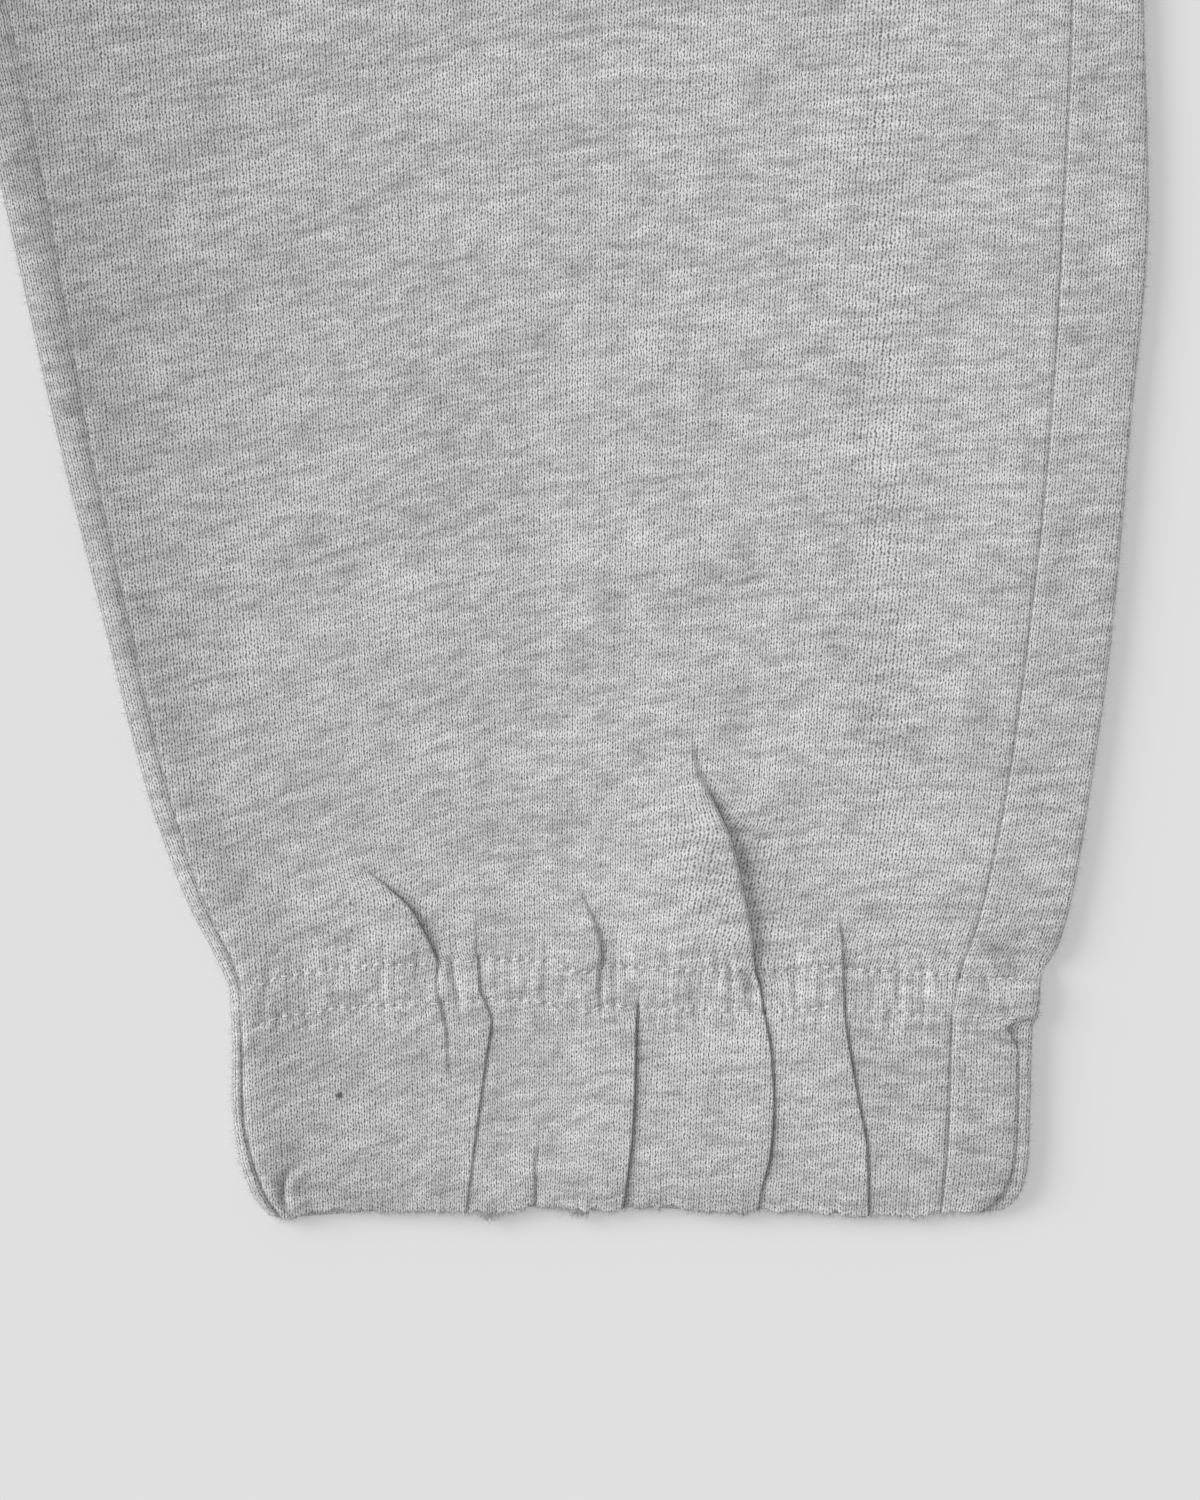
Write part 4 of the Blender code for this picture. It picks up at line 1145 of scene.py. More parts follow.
class Panel:
    """What a leg's front and back share: a wall that ends at its seams.

    Attributes:
        leg: the leg that it is part of.
        name: front or back.
        runs: the runs of its outer face.
    """

    leg: LegForm
    name: str
    runs: Sequence[Run]

    def outer_row(self, rise: float, run: Run) -> Row:
        """Makes one row of the outer face."""
        raise NotImplementedError

    def inner_row(self, rise: float, edge: Row | None) -> Row:
        """Makes one row of the hidden face, which follows the outer one at the panel's two ends."""
        raise NotImplementedError

    def build(self, material: bpy.types.Material) -> bpy.types.Object:
        """Builds the panel's shell.

        Args:
            material: its finish.

        Returns:
            The panel's object.
        """
        rises, outer = [], []
        for run in self.runs:
            for rise in run.rises()[1 if outer else 0:]:
                rises.append(rise)
                outer.append(self.outer_row(rise, run))
        hidden = [rises[0]]
        for rise in rises[1:-1]:
            if rise - hidden[-1] >= HIDDEN_STEPS[rise >= CASING_HIGH + 8]:
                hidden.append(rise)
        hidden.append(rises[-1])
        edges = {rises[0]: outer[0], rises[-1]: outer[-1]}
        shell = Shell(f"{self.name}_{self.leg.name}_cloth")
        lines = shell.cover(outer), shell.cover([self.inner_row(rise, edges.get(rise)) for rise in hidden])
        shell.close(*lines)
        for end in (0, -1):
            sides = [
                Line(np.array(marks), np.array([line.vertices[end] for line in face]))
                for marks, face in zip((rises, hidden), lines)
            ]
            shell.join(*(sides if end == 0 else reversed(sides)))
        return shell.finish(material)


@dataclass
class FrontPanel(Panel):
    """Front of a leg: from the inseam's edge, or the middle seam above the crotch, to the outseam."""

    leg: LegForm
    name: str = "front"
    runs: Sequence[Run] = field(default_factory=lambda: FRONT_RUNS)
    inner_columns: int = 16
    flat_size: tuple[float, float] = (0.30, 1.0)  # the cut piece's width and length, in metres
    flat_area: float = 0.216

    def outer_row(self, rise: float, run: Run) -> Row:
        """Makes one row of the upper face.

        Args:
            rise: where along the leg.
            run: the stretch of rows that it belongs to.

        Returns:
            The row.
        """
        leg = self.leg
        columns = leg.front_columns(rise, run)
        middle = leg.plain_crown(columns.across, rise) - float(wall_at(rise)) / 2
        top = hem_rolled(leg.crown(columns.across, rise, columns), middle, rise)
        height = drawn_to_edge(top, rise, columns.marks - float(inseam_at(rise)), 1)
        # A darker tint on the yarn: towards the inseam low on the leg, on the strip past the inseam and in
        # the frill
        pull = darker_share_at(columns.marks) * (1.0 - 0.85 * eased(rise, 260, 520))
        pull = pull * (0.8 + 0.2 * eased(rise, 60, 180))
        pull = pull + STRIP_DARKER * columns.strip * eased(rise, 40, 60)
        pull = pull + FRILL_DARKER * (1.0 - eased(rise, 26, 36))
        points = leg.place(columns.across, rise, height)
        return Row(columns.marks, points, leg.front_cut(columns, rise), pull)

    def inner_row(self, rise: float, edge: Row | None) -> Row:
        """Makes one row of the hidden face.

        Args:
            rise: where along the leg.
            edge: the outer row that this row has to follow, if any.

        Returns:
            The row.
        """
        wall, end = float(wall_at(rise)), float(outseam_at(rise)) - SEAM_LINE / 2
        low = float(inseam_at(rise)) + 0.9 * wall * float(open_edge_at(rise))
        lead = np.array([low, low + 0.5, low + ROLL_REACH])
        if edge is None:
            across = np.concatenate([lead[:2], np.linspace(lead[2], end, self.inner_columns)])
        else:
            across = np.concatenate([lead, edge.marks[edge.marks > lead[2] + 0.8]])
        crown = self.leg.plain_crown(across, rise)
        height = drawn_to_edge(hem_rolled(crown - wall, crown - wall / 2, rise), rise, across - low, 1)
        cut = np.stack([across, np.full_like(across, rise)], axis=1) * MM
        return Row(across, self.leg.place(across, rise, height), cut)


# The outer fold's section where its top layer lies back from the lower one, as (in from the fold, share of
# the height), and then the same measured in from the top layer's own edge
LOWER_BULGE = (
    (3.2, 0.0), (1.8, 0.05), (0.9, 0.18), (0.3, 0.42), (0.05, 0.66), (0.0, 0.77), (0.05, 0.84),
    (0.2, 0.885), (0.5, 0.91), (1.0, 0.92), (1.7, 0.925),
)
UPPER_BULGE = (
    (-0.25, 0.86), (0.05, 0.91), (0.1, 0.94), (-0.1, 0.97), (-0.6, 0.99), (-1.4, 1.0), (-2.6, 1.0),
)
TURN_PARTS = len(LOWER_BULGE) + len(UPPER_BULGE) - 1
TURN_SQUARE = 0.42  # below 1, the fold's section is squarer than an ellipse
TURN_HIGH = 0.5  # below 1, the fold bulges most above its middle
TURN_BLEND = 2.5  # how far past the fold the upper stretch has met its height


@dataclass
class BackPanel(Panel):
    """Back of a leg: along the table from the inseam, round the outer fold and up to the outseam."""

    leg: LegForm
    name: str = "back"
    runs: Sequence[Run] = field(default_factory=lambda: BACK_RUNS)
    flat_size: tuple[float, float] = (0.31, 1.0)
    flat_area: float = 0.242

    def under(self, across: Array, rise: float) -> Array:
        """How far the cloth stands off the table: along soft troughs and in the stitched rows.

        Args:
            across: places across the leg.
            rise: where along it.

        Returns:
            The height at each place.
        """
        height = np.maximum(lifted(UNDER_RIPPLES, across, rise), 0.0)
        for row in (CASING_LOW, CASING_HIGH):
            height += UNDER_GROOVE * bell(rise - row, GROOVE_REACH)
        return np.minimum(height, 1.0)

    def turn_section(self, rise: float, inset: float) -> tuple[Array, Array, Array]:
        """Works out the section of the outer fold.

        Args:
            rise: where along the leg.
            inset: how far inside the outer face this is.

        Returns:
            The places across, the heights, and the shares of the way up.
        """
        fold, wall = float(fold_at(rise)), float(wall_at(rise))
        top = float(self.leg.crown(np.array([fold - ROLL_REACH]), rise)[0])
        angle = math.pi * (np.arange(TURN_PARTS + 1) / TURN_PARTS - 0.5)
        squared = np.maximum(np.cos(angle), 0.0) ** TURN_SQUARE
        across = fold - ROLL_REACH + (ROLL_REACH - 0.85 * inset) * squared
        bulge = np.sign(np.sin(angle)) * np.abs(np.sin(angle)) ** (1.0 / (2.0 - TURN_SQUARE))
        upper = ((bulge + 1.0) / 2) ** TURN_HIGH
        part = 0.0 if inset else float(shelf_share_at(rise))
        stepped, stepped_upper = np.array(LOWER_BULGE + UPPER_BULGE).T
        stepped = fold - stepped
        stepped[len(LOWER_BULGE):] = fold - float(shelf_at(rise)) + np.array(UPPER_BULGE)[:, 0]
        across = across + part * (stepped - across)
        upper = upper + part * (stepped_upper - upper)
        squeeze = hem_rolled(inset, wall / 2, rise) - inset
        return across, inset + (top - 2.0 * inset) * upper + squeeze * (1.0 - 2.0 * upper), upper

    def outer_row(self, rise: float, run: Run) -> Row:
        """Makes one row of the outer face, all the way round.

        Args:
            rise: where along the leg.
            run: the stretch of rows that it belongs to.

        Returns:
            The row.
        """
        start, turn = float(inseam_at(rise)), float(fold_at(rise)) - ROLL_REACH
        seam, wall = float(outseam_at(rise)) + SEAM_LINE / 2, float(wall_at(rise))
        width = float(fold_at(run.low)) - float(inseam_at(run.low))
        count = round(width / max(run.layout.value[0], 1.2))
        low = np.concatenate([start + BACK_LEAD, np.linspace(start + ROLL_REACH, turn, count + 1)[:-1]])
        folded = self.turn_section(rise, 0.0)
        first = folded[0][-1]
        steps = np.linspace(0.0, 1.0, UPPER_COLUMNS[run.layout] + 1)[1:-1]
        up = np.concatenate([first + (seam + TAIL_STEPS[0] - first) * steps, seam + TAIL_STEPS])
        crown = self.leg.crown(up, rise)
        up_height = hem_rolled(crown, crown - wall / 2, rise)
        met = np.clip(1.0 - (first - up) / TURN_BLEND, 0.0, 1.0) ** 2
        up_height = up_height + (folded[1][-1] - up_height) * met
        return self.round_row(rise, start, (low, self.under(low, rise)), folded, (up, up_height), False)

    def inner_row(self, rise: float, edge: Row | None) -> Row:
        """Makes one row of the hidden face, all the way round.

        Args:
            rise: where along the leg.
            edge: not used; the outer row beside it, if any, which this row need not follow.

        Returns:
            The row.
        """
        wall, turn = float(wall_at(rise)), float(fold_at(rise)) - ROLL_REACH
        start = float(inseam_at(rise)) + 0.9 * wall * float(open_edge_at(rise))
        low = np.concatenate([[start, start + 0.5], np.linspace(start + ROLL_REACH, turn, 7)[:-1]])
        up = np.linspace(turn, float(outseam_at(rise)) + SEAM_LINE / 2, 4)[1:]
        crown = self.leg.crown(up, rise)
        plain = np.minimum(crown, self.leg.plain_crown(up, rise) + EDGE_LOFT) - wall
        up_height = hem_rolled(plain, crown - wall / 2, rise)
        flat, folded = np.full_like(low, wall), self.turn_section(rise, wall)
        return self.round_row(rise, start, (low, flat), folded, (up, up_height), True)

    def round_row(
        self, rise: float, start: float, low: tuple[Array, Array], folded: tuple[Array, Array, Array],
        up: tuple[Array, Array], hidden: bool,
    ) -> Row:
        """Joins the three stretches of a row.

        Args:
            rise: where along the leg.
            start: where its lower stretch starts.
            low: the lower stretch's places across and heights.
            folded: the outer fold's section.
            up: the upper stretch's places and heights.
            hidden: whether it is on the hidden face.

        Returns:
            The row.
        """
        turn, seam = float(fold_at(rise)) - ROLL_REACH, float(outseam_at(rise)) + SEAM_LINE / 2
        first = turn if hidden else folded[0][-1]
        low_height = hem_rolled(low[1], float(wall_at(rise)) / 2, rise)
        low_height = drawn_to_edge(low_height, rise, low[0] - start, -1)
        across = np.concatenate([low[0], folded[0], up[0]])
        height = np.concatenate([low_height, folded[1], up[1]])
        upper = np.concatenate([np.zeros(len(low[0])), folded[2], np.ones(len(up[0]))])
        marks = np.concatenate([
            (low[0] - start) / (turn - start), 1 + np.arange(TURN_PARTS + 1) / (TURN_PARTS + 1),
            2 + (first - up[0]) / (first - seam),
        ])
        points = self.leg.place(across, rise, height, upper)
        if hidden:
            return Row(marks, points, np.stack([across, np.full_like(across, rise)], axis=1) * MM)
        length = passed(across, height)
        v = rise - BACK_CLIMB * (across - 280.0) * upper + BACK_SHIFT
        # The back's stretch round the fold and up to the outseam takes the darker tint
        return Row(marks, points, np.stack([length[-1] - length, v], axis=1) * MM, BACK_DARKER * upper)


@dataclass
class Waistband:
    """Waistband: a flattened ring whose upper layer stands in gathers between its rounded sides."""

    half_width: float = 180.0
    side_reach: float = 4.0
    height: float = 7.4
    gathers: int = 38
    gather_depth: float = 1.0
    gather_reach: float = 1.9
    roll: float = 1.8
    lip: float = 0.6  # how far its upper and lower edges round off
    stitch_row: float = WAIST_SEAM + 4.0
    stitch_dent: float = 0.3
    flat_size: tuple[float, float] = (0.98, 0.046)

    def __post_init__(self) -> None:
        """Works out where the gathers run."""
        self.turn = self.half_width - self.side_reach
        index = np.arange(self.gathers)
        strayed = index + 0.5 + 0.25 * np.sin(1.9 * index)
        self.creases = self.turn - 2.0 * self.turn / self.gathers * strayed
        self.depths = self.gather_depth * (0.75 + 0.25 * np.sin(3.1 * index))
        self.wander = Waver(71, 60.0, 16.0)
        self.fine = Waver(72, 7.0, 2.4, spread=0.6)

    def dent(self, across: Array, rise: float) -> Array:
        """How far the gathers and the stitched row lower the upper layer.

        Args:
            across: places across the garment.
            rise: where along it.

        Returns:
            The depth at each place.
        """
        total = 0.12 * self.fine(across, rise)
        moved = across + 0.7 * self.wander(across, rise)
        for place, depth in zip(self.creases, self.depths):
            total += depth * np.exp(-((np.abs(moved - place) / self.gather_reach) ** 1.5))
        return total + self.stitch_dent * bell(rise - self.stitch_row, 0.9)

    def ring(self, rise: float, inset: float = 0.0, dense: bool = True) -> Row:
        """Makes one ring of the band.

        Args:
            rise: where along the garment.
            inset: how far inside the outer face it is.
            dense: whether it has every column of the outer face.

        Returns:
            The ring's row.
        """
        edge = float(rolled(min(rise - WAIST_SEAM, BAND_TOP - rise), self.roll))
        fade = 0.0 if inset else edge
        lip = self.lip * (1.0 - edge) * (-0.3 if inset else 1.0)
        low, high = inset + lip, self.height - inset - lip
        reach = self.side_reach - 0.75 * inset
        counts = (150, 14, 300, 14) if dense else (12, 6, 18, 6)
        down = np.linspace(-self.turn, self.turn, counts[0], endpoint=False)
        up = np.linspace(self.turn, -self.turn, counts[2], endpoint=False)
        angle = math.pi * (np.arange(counts[1]) / counts[1] - 0.5)
        ribs = np.maximum(0.0, 0.05 + 0.4 * np.cos(down * 0.53 + 0.6 * np.sin(down * 0.07)))
        lower_lift = fade * ribs * eased(self.turn - np.abs(down), 0.0, 6.0)
        lower_lift = np.maximum(lower_lift, 0.42 * fade * bell(rise - self.stitch_row, 1.4))
        dents = fade * eased(self.turn - np.abs(up), 0.0, 5.0) * self.dent(up, rise)
        outward = np.concatenate([np.zeros(counts[0]), np.cos(angle), np.zeros(counts[2]), -np.cos(angle)])
        upright = np.concatenate([-np.ones(counts[0]), np.sin(angle), np.ones(counts[2]), -np.sin(angle)])
        straight = np.concatenate([down, np.full(counts[1], self.turn), up, np.full(counts[3], -self.turn)])
        across = straight + reach * outward
        height = (low + high) / 2 + (high - low) / 2 * upright
        height[:counts[0]] += lower_lift
        height[sum(counts[:2]):sum(counts[:3])] -= dents
        marks = np.concatenate([side + np.arange(count) / count for side, count in enumerate(counts)])
        points = np.stack([across, np.full_like(across, rise - MIDDLE_RISE), height], axis=1) * MM
        length = passed(straight + self.side_reach * outward, self.height / 2 * upright)
        turned_in = math.copysign(inset, rise - (WAIST_SEAM + BAND_TOP) / 2)
        return Row(marks, points, np.stack([length, np.full_like(length, rise + turned_in)], axis=1) * MM)

    def build(self, material: bpy.types.Material) -> bpy.types.Object:
        """Builds the band's shell.

        Args:
            material: its finish.

        Returns:
            The band's object.
        """
        shell = Shell("waistband_cloth", ring_end=4.0)
        low, high = WAIST_SEAM + SEAM_LINE / 2, BAND_TOP
        rolls = [self.roll * part for part in (0.0, 0.08, 0.25, 0.5, 0.75, 1.0)]
        body = np.linspace(low + self.roll, high - self.roll, 34)[1:-1]
        rises = [low + roll for roll in rolls] + body.tolist() + [high - roll for roll in reversed(rolls)]
        outer = shell.cover([self.ring(rise) for rise in rises])
        hidden = [*rises[::5], high]
        inner = shell.cover([self.ring(rise, BAND_WALL, rise in (low, high)) for rise in hidden])
        shell.close(outer, inner)
        return shell.finish(material)

    def stitches(self) -> "Stitching":
        """Sews the row that holds the waistband's elastic, all the way round.

        Returns:
            The stitches.
        """
        stitching = Stitching("waistband_stitches", length=2.2, radius=0.2, stand=0.36)
        points = self.ring(self.stitch_row).points / MM
        path = np.concatenate([points, points[:1]])
        draw = np.random.default_rng(9)
        length = np.concatenate([[0.0], np.cumsum(np.linalg.norm(np.diff(path, axis=0), axis=1))])
        for along in np.arange(0.0, length[-1] - 0.2, 2.8):
            near = [along - 0.5, along, along + 0.5]
            places = np.stack([np.interp(near, length, path[:, axis]) for axis in range(3)], axis=1)
            out = np.cross(places[2] - places[0], [0.0, -1.0, 0.0])
            stitching.sew(places, out / np.linalg.norm(out), draw)
        return stitching


@dataclass
class Stitching:
    """Rows of thread stitches, each a short dash that dives into the cloth at both ends."""

    name: str
    length: float = 1.55
    radius: float = 0.145
    sides: int = 6
    rings: int = 7
    stand: float = 0.16  # how far a stitch's middle stands off the cloth
    dive: float = 0.5  # how deep its ends go
    points: list[Array] = field(default_factory=list)
    cuts: list[Array] = field(default_factory=list)

    def sew(self, places: Array, out: Array, draw: np.random.Generator) -> None:
        """Adds one stitch.

        Args:
            places: three places on the cloth along it, its middle the second.
            out: the unit direction away from the cloth.
            draw: where its small irregularities come from.
        """
        ahead = (places[2] - places[0]) / np.linalg.norm(places[2] - places[0])
        turn = draw.normal(0.0, 0.07)
        ahead = ahead * math.cos(turn) + np.cross(out, ahead) * math.sin(turn)
        beside = np.cross(out, ahead)
        length = self.length * draw.uniform(0.78, 1.1)
        radius = self.radius * draw.uniform(0.88, 1.12)
        along = np.linspace(-1.0, 1.0, self.rings)
        stand = self.stand * draw.uniform(0.3, 1.15)
        lifts = stand - (stand + self.dive) * np.abs(along) ** 2.6
        angle = 2.0 * math.pi * np.arange(self.sides) / self.sides
        section = np.outer(np.cos(angle), beside) + np.outer(np.sin(angle), out) * 0.8
        for place, lift in zip(along, lifts):
            around = radius * (1.0 - 0.45 * abs(place) ** 3)
            middle = places[1] + ahead * (place * length / 2) + out * lift
            self.points.append((middle + section * around) * MM)
            lengthwise = np.full(self.sides, place * length / 2)
            self.cuts.append(np.stack([angle / (2 * math.pi), lengthwise], axis=1) * MM)

    def build(self, material: bpy.types.Material) -> bpy.types.Object:
        """Joins the stitches into one object, none of them in the table.

        Args:
            material: their finish.

        Returns:
            The object.
        """
        points, cut = np.concatenate(self.points), np.concatenate(self.cuts)
        points[:, 2] = np.maximum(points[:, 2], 0.02 * MM)
        firsts = range(0, len(points), self.rings * self.sides)
        faces = [face for first in firsts for face in tube_faces(first, self.rings, self.sides)]
        return make_object(self.name, points, faces, material, cut)


def casing_stitches(leg: LegForm, panel: BackPanel) -> Stitching:
    """Sews the two rows of a leg's elastic casing: along the front, then along the back on the table.

    Args:
        leg: the leg.
        panel: its back.

    Returns:
        The stitches.
    """
    stitching = Stitching(f"casing_stitches_{leg.name}")
    near = NEAR_STITCH * np.array([-1.0, 0.0, 1.0])
    for row, sunk in ((CASING_LOW, 3.8), (CASING_HIGH, 1.0)):
        start, turn = float(inseam_at(row)), float(fold_at(row)) - ROLL_REACH
        needles = np.arange(math.ceil((start + sunk) / STITCH_PITCH), math.floor(turn / STITCH_PITCH))
        draw = np.random.default_rng(leg.seed + int(row))
        for across in (needles + 0.5)[:, None] * STITCH_PITCH + near:
            height = drawn_to_edge(leg.crown(across, row), row, across - start)
            places = leg.place(across, row, height) / MM
            places[:, 1] += leg.stray(across, row)
            ahead = places[2] - places[0]
            if abs(ahead[2]) <= STEEPEST_STITCH * np.linalg.norm(ahead):
                out = np.cross(ahead, [0.0, leg.sign, 0.0])
                stitching.sew(places, out / np.linalg.norm(out), draw)
        for across in np.arange(start + ROLL_REACH, turn, STITCH_PITCH)[:, None] + near:
            places = leg.place(across, row, panel.under(across, row) + 0.1, 0.0) / MM
            stitching.sew(places, np.array([0.0, 0.0, -1.0]), draw)
    return stitching


@dataclass
class Strands:
    """Fibres or yarn ends that are built alike.

    Attributes:
        start: where each starts.
        way: which way each sets out.
        length: how long each is.
        curl: how far each has curled aside at its end, as a share of its length.
        radius: how thick they are.
        joints: how many straight parts each has.
    """

    start: Array
    way: Array
    length: Array
    curl: Array
    radius: float
    joints: int
    sides: int = 3

    def mesh(self, draw: np.random.Generator) -> tuple[Array, Faces]:
        """Builds the strands as thin closed tubes.

        Args:
            draw: where their irregularities come from.

        Returns:
            The points, in millimetres, and the faces.
        """
        count, rings = len(self.start), self.joints + 1
        way = self.way + draw.normal(0.0, 0.45, (count, 3))
        way /= np.linalg.norm(way, axis=1, keepdims=True)
        bend = np.cross(way, draw.normal(0.0, 1.0, (count, 3)))
        beside = bend / np.linalg.norm(bend, axis=1, keepdims=True)
        over = np.cross(way, beside)
        points = []
        for part in np.arange(rings) / self.joints:
            bent = way * part + beside * (self.curl * part**2)[:, None]
            centre = self.start + bent * self.length[:, None]
            for angle in 2.0 * math.pi * np.arange(self.sides) / self.sides:
                aside = beside * math.cos(angle) + over * math.sin(angle)
                points.append(centre + aside * self.radius * (1.0 - 0.5 * part))
        firsts = range(0, count * rings * self.sides, rings * self.sides)
        faces = [face for first in firsts for face in tube_faces(first, rings, self.sides)]
        return np.stack(points, axis=1).reshape(-1, 3), faces


@dataclass
class Fuzz:
    """Loose cotton fibres that stand off one leg's cloth, most at its edges, and the hem's frayed loops."""

    leg: LegForm
    hem_density: float = 15.0  # fibres a millimetre along each layer of the hem
    edge_density: float = 9.0  # along the leg's edges, up to the knee
    upper_density: float = 0.8  # and above it
    surface_rows: int = 60
    surface_fibres: int = 26  # fibres on the cloth in each of those rows
    loops: int = 620  # frayed loops along the hem
    tangled: int = 60  # and in each tangle
    tangles: Points = ((195.9, 1.1), (210.4, 0.9))  # where the hem has frayed, as (across, reach)

    def fibres(self, draw: np.random.Generator) -> Strands:
        """Lays the fibres, on the +X side: along the hem's layers, the leg's edges and the cloth.

        Args:
            draw: where their places come from.

        Returns:
            The fibres.
        """
        leg, starts, ways = self.leg, [], []
        first, last = float(inseam_at(0.0)), float(fold_at(0.0))
        count = round(self.hem_density * (last - first))
        for upper in (1.0, 0.0):
            across = np.sort(draw.uniform(first + 1.0, last - 1.5, count))
            middle = upper * (leg.plain_crown(across, 0.0) - HEM_WALL / 2) + (1.0 - upper) * HEM_WALL / 2
            height = middle + draw.uniform(-0.6, 0.6, count)
            starts.append(np.stack([across, hem_offset(across, upper) + 0.15, height], axis=1))
            ways.append(np.tile([0.0, -1.0, 0.1], (count, 1)))
        for low, high, density in ((1.0, KNEE, self.edge_density), (KNEE, CROTCH - 15, self.upper_density)):
            for edge, way in ((inseam_at, -1.0), (fold_at, 1.0)):
                count = round((high - low) * density)
                rise = np.sort(draw.uniform(low, high, count))
                across = edge(rise) - way * draw.uniform(-0.1, 0.7, count)
                height = (2.0 * wall_at(rise) + LAYER_GAP) * draw.uniform(0.3, 1.2, count)
                along = rise + bow_at(across) * bow_share_at(rise)
                starts.append(np.stack([across, along, height], axis=1))
                ways.append(np.tile([way, 0.0, 0.25], (count, 1)))
        for rise in np.linspace(2.0, KNEE, self.surface_rows):
            low, high = float(inseam_at(rise)) + 3.0, float(fold_at(rise)) - 4.0
            across = np.sort(draw.uniform(low, high, self.surface_fibres))
            along = rise + bow_at(across) * float(bow_share_at(rise))
            starts.append(np.stack([across, along, leg.crown(across, float(rise))], axis=1))
            turn = draw.uniform(0.0, 2.0 * math.pi, self.surface_fibres)
            ways.append(np.stack([np.cos(turn), np.sin(turn), np.full(self.surface_fibres, 0.35)], axis=1))
        start = np.concatenate(starts)
        length = draw.uniform(0.35, 1.25, len(start)) ** 1.4
        return Strands(start, np.concatenate(ways), length, draw.uniform(0.1, 0.7, len(start)), 0.03, 2)

    def frayed_loops(self, draw: np.random.Generator) -> Strands:
        """Lays the frayed loops along the front's hem.

        Args:
            draw: where their places come from.

        Returns:
            The loops.
        """
        parts = [draw.uniform(float(inseam_at(0.0)) + 3.0, float(fold_at(0.0)) - 3.0, self.loops)]
        parts += [draw.normal(place, reach, self.tangled) for place, reach in self.tangles]
        across = np.concatenate(parts)
        count = len(across)
        tangled = np.arange(count) >= self.loops
        height = self.leg.plain_crown(across, 0.0) - draw.uniform(0.0, 0.55, count)
        along = hem_offset(across, 1.0) + draw.uniform(0.0, 0.45, count) - 0.5 * tangled
        length = draw.uniform(0.35, 0.75, count) + 0.35 * tangled
        curl = draw.uniform(0.5, 1.3, count)
        start = np.stack([across, along, height], axis=1)
        return Strands(start, np.tile([0.0, -1.0, 0.2], (count, 1)), length, curl, 0.085, 5)

    def build(self, fibre: bpy.types.Material, yarn: bpy.types.Material) -> list[bpy.types.Object]:
        """Builds the fibres and the frayed loops.

        Args:
            fibre: the fibres' finish.
            yarn: the loops' finish.

        Returns:
            The two pieces.
        """
        draw = np.random.default_rng(self.leg.seed + 50)
        things = []
        kinds = (("fuzz", self.fibres, fibre), ("frayed_loops", self.frayed_loops, yarn))
        for name, lay, material in kinds:
            points, faces = lay(draw).mesh(draw)
            points[:, 2] = np.maximum(points[:, 2], 0.02)
            points[:, 1] -= MIDDLE_RISE
            points[:, 0] *= self.leg.sign
            if self.leg.sign < 0:
                faces = [(face[0], *face[:0:-1]) for face in faces]
            things.append(make_object(f"{name}_{self.leg.name}", points * MM, faces, material))
        return things


def srgb(code: str) -> tuple[float, float, float, float]:
    """Turns an sRGB colour into a linear one.

    Args:
        code: its hex code, such as #b4b4b4.

    Returns:
        Linear red, green and blue, and an alpha of 1.
    """
    parts = [int(code[index:index + 2], 16) / 255 for index in (1, 3, 5)]
    red, green, blue = (p / 12.92 if p <= 0.04045 else ((p + 0.055) / 1.055) ** 2.4 for p in parts)
    return red, green, blue, 1.0


def add_node(
    tree: bpy.types.NodeTree, kind: str, settings: dict[Any, Any] | None = None,
    links: dict[Any, Any] | None = None,
) -> bpy.types.Node:
    """Adds a node.

    Args:
        tree: the tree that it goes in.
        kind: its type.
        settings: its properties by name, and its inputs' values by name or number.
        links: the outputs that feed its inputs, by the inputs' names or numbers.

    Returns:
        The node.
    """
    node = tree.nodes.new(kind)
    for key, value in (settings or {}).items():
        if isinstance(key, str) and hasattr(node, key):
            setattr(node, key, value)
        else:
            node.inputs[key].default_value = value
    for key, output in (links or {}).items():
        tree.links.new(output, node.inputs[key])
    return node


class Finish:
    """What every finish shares: a name, and one shader that its look sets and feeds."""

    name: str

    def look(self, tree: bpy.types.NodeTree) -> tuple[dict[str, Any], dict[str, Any]]:
        """Returns the shader's settings, and the outputs that feed it."""
        raise NotImplementedError

    def material(self) -> bpy.types.Material:
        """Builds the material.

        Returns:
            The material.
        """
        material = bpy.data.materials.new(self.name)
        material.use_nodes = True
        tree = material.node_tree
        tree.nodes.clear()
        settings, links = self.look(tree)
        shader = add_node(tree, "ShaderNodeBsdfPrincipled", {"IOR": 1.5, **settings}, links)
        add_node(tree, "ShaderNodeOutputMaterial", {}, {"Surface": shader.outputs[0]})
        return material


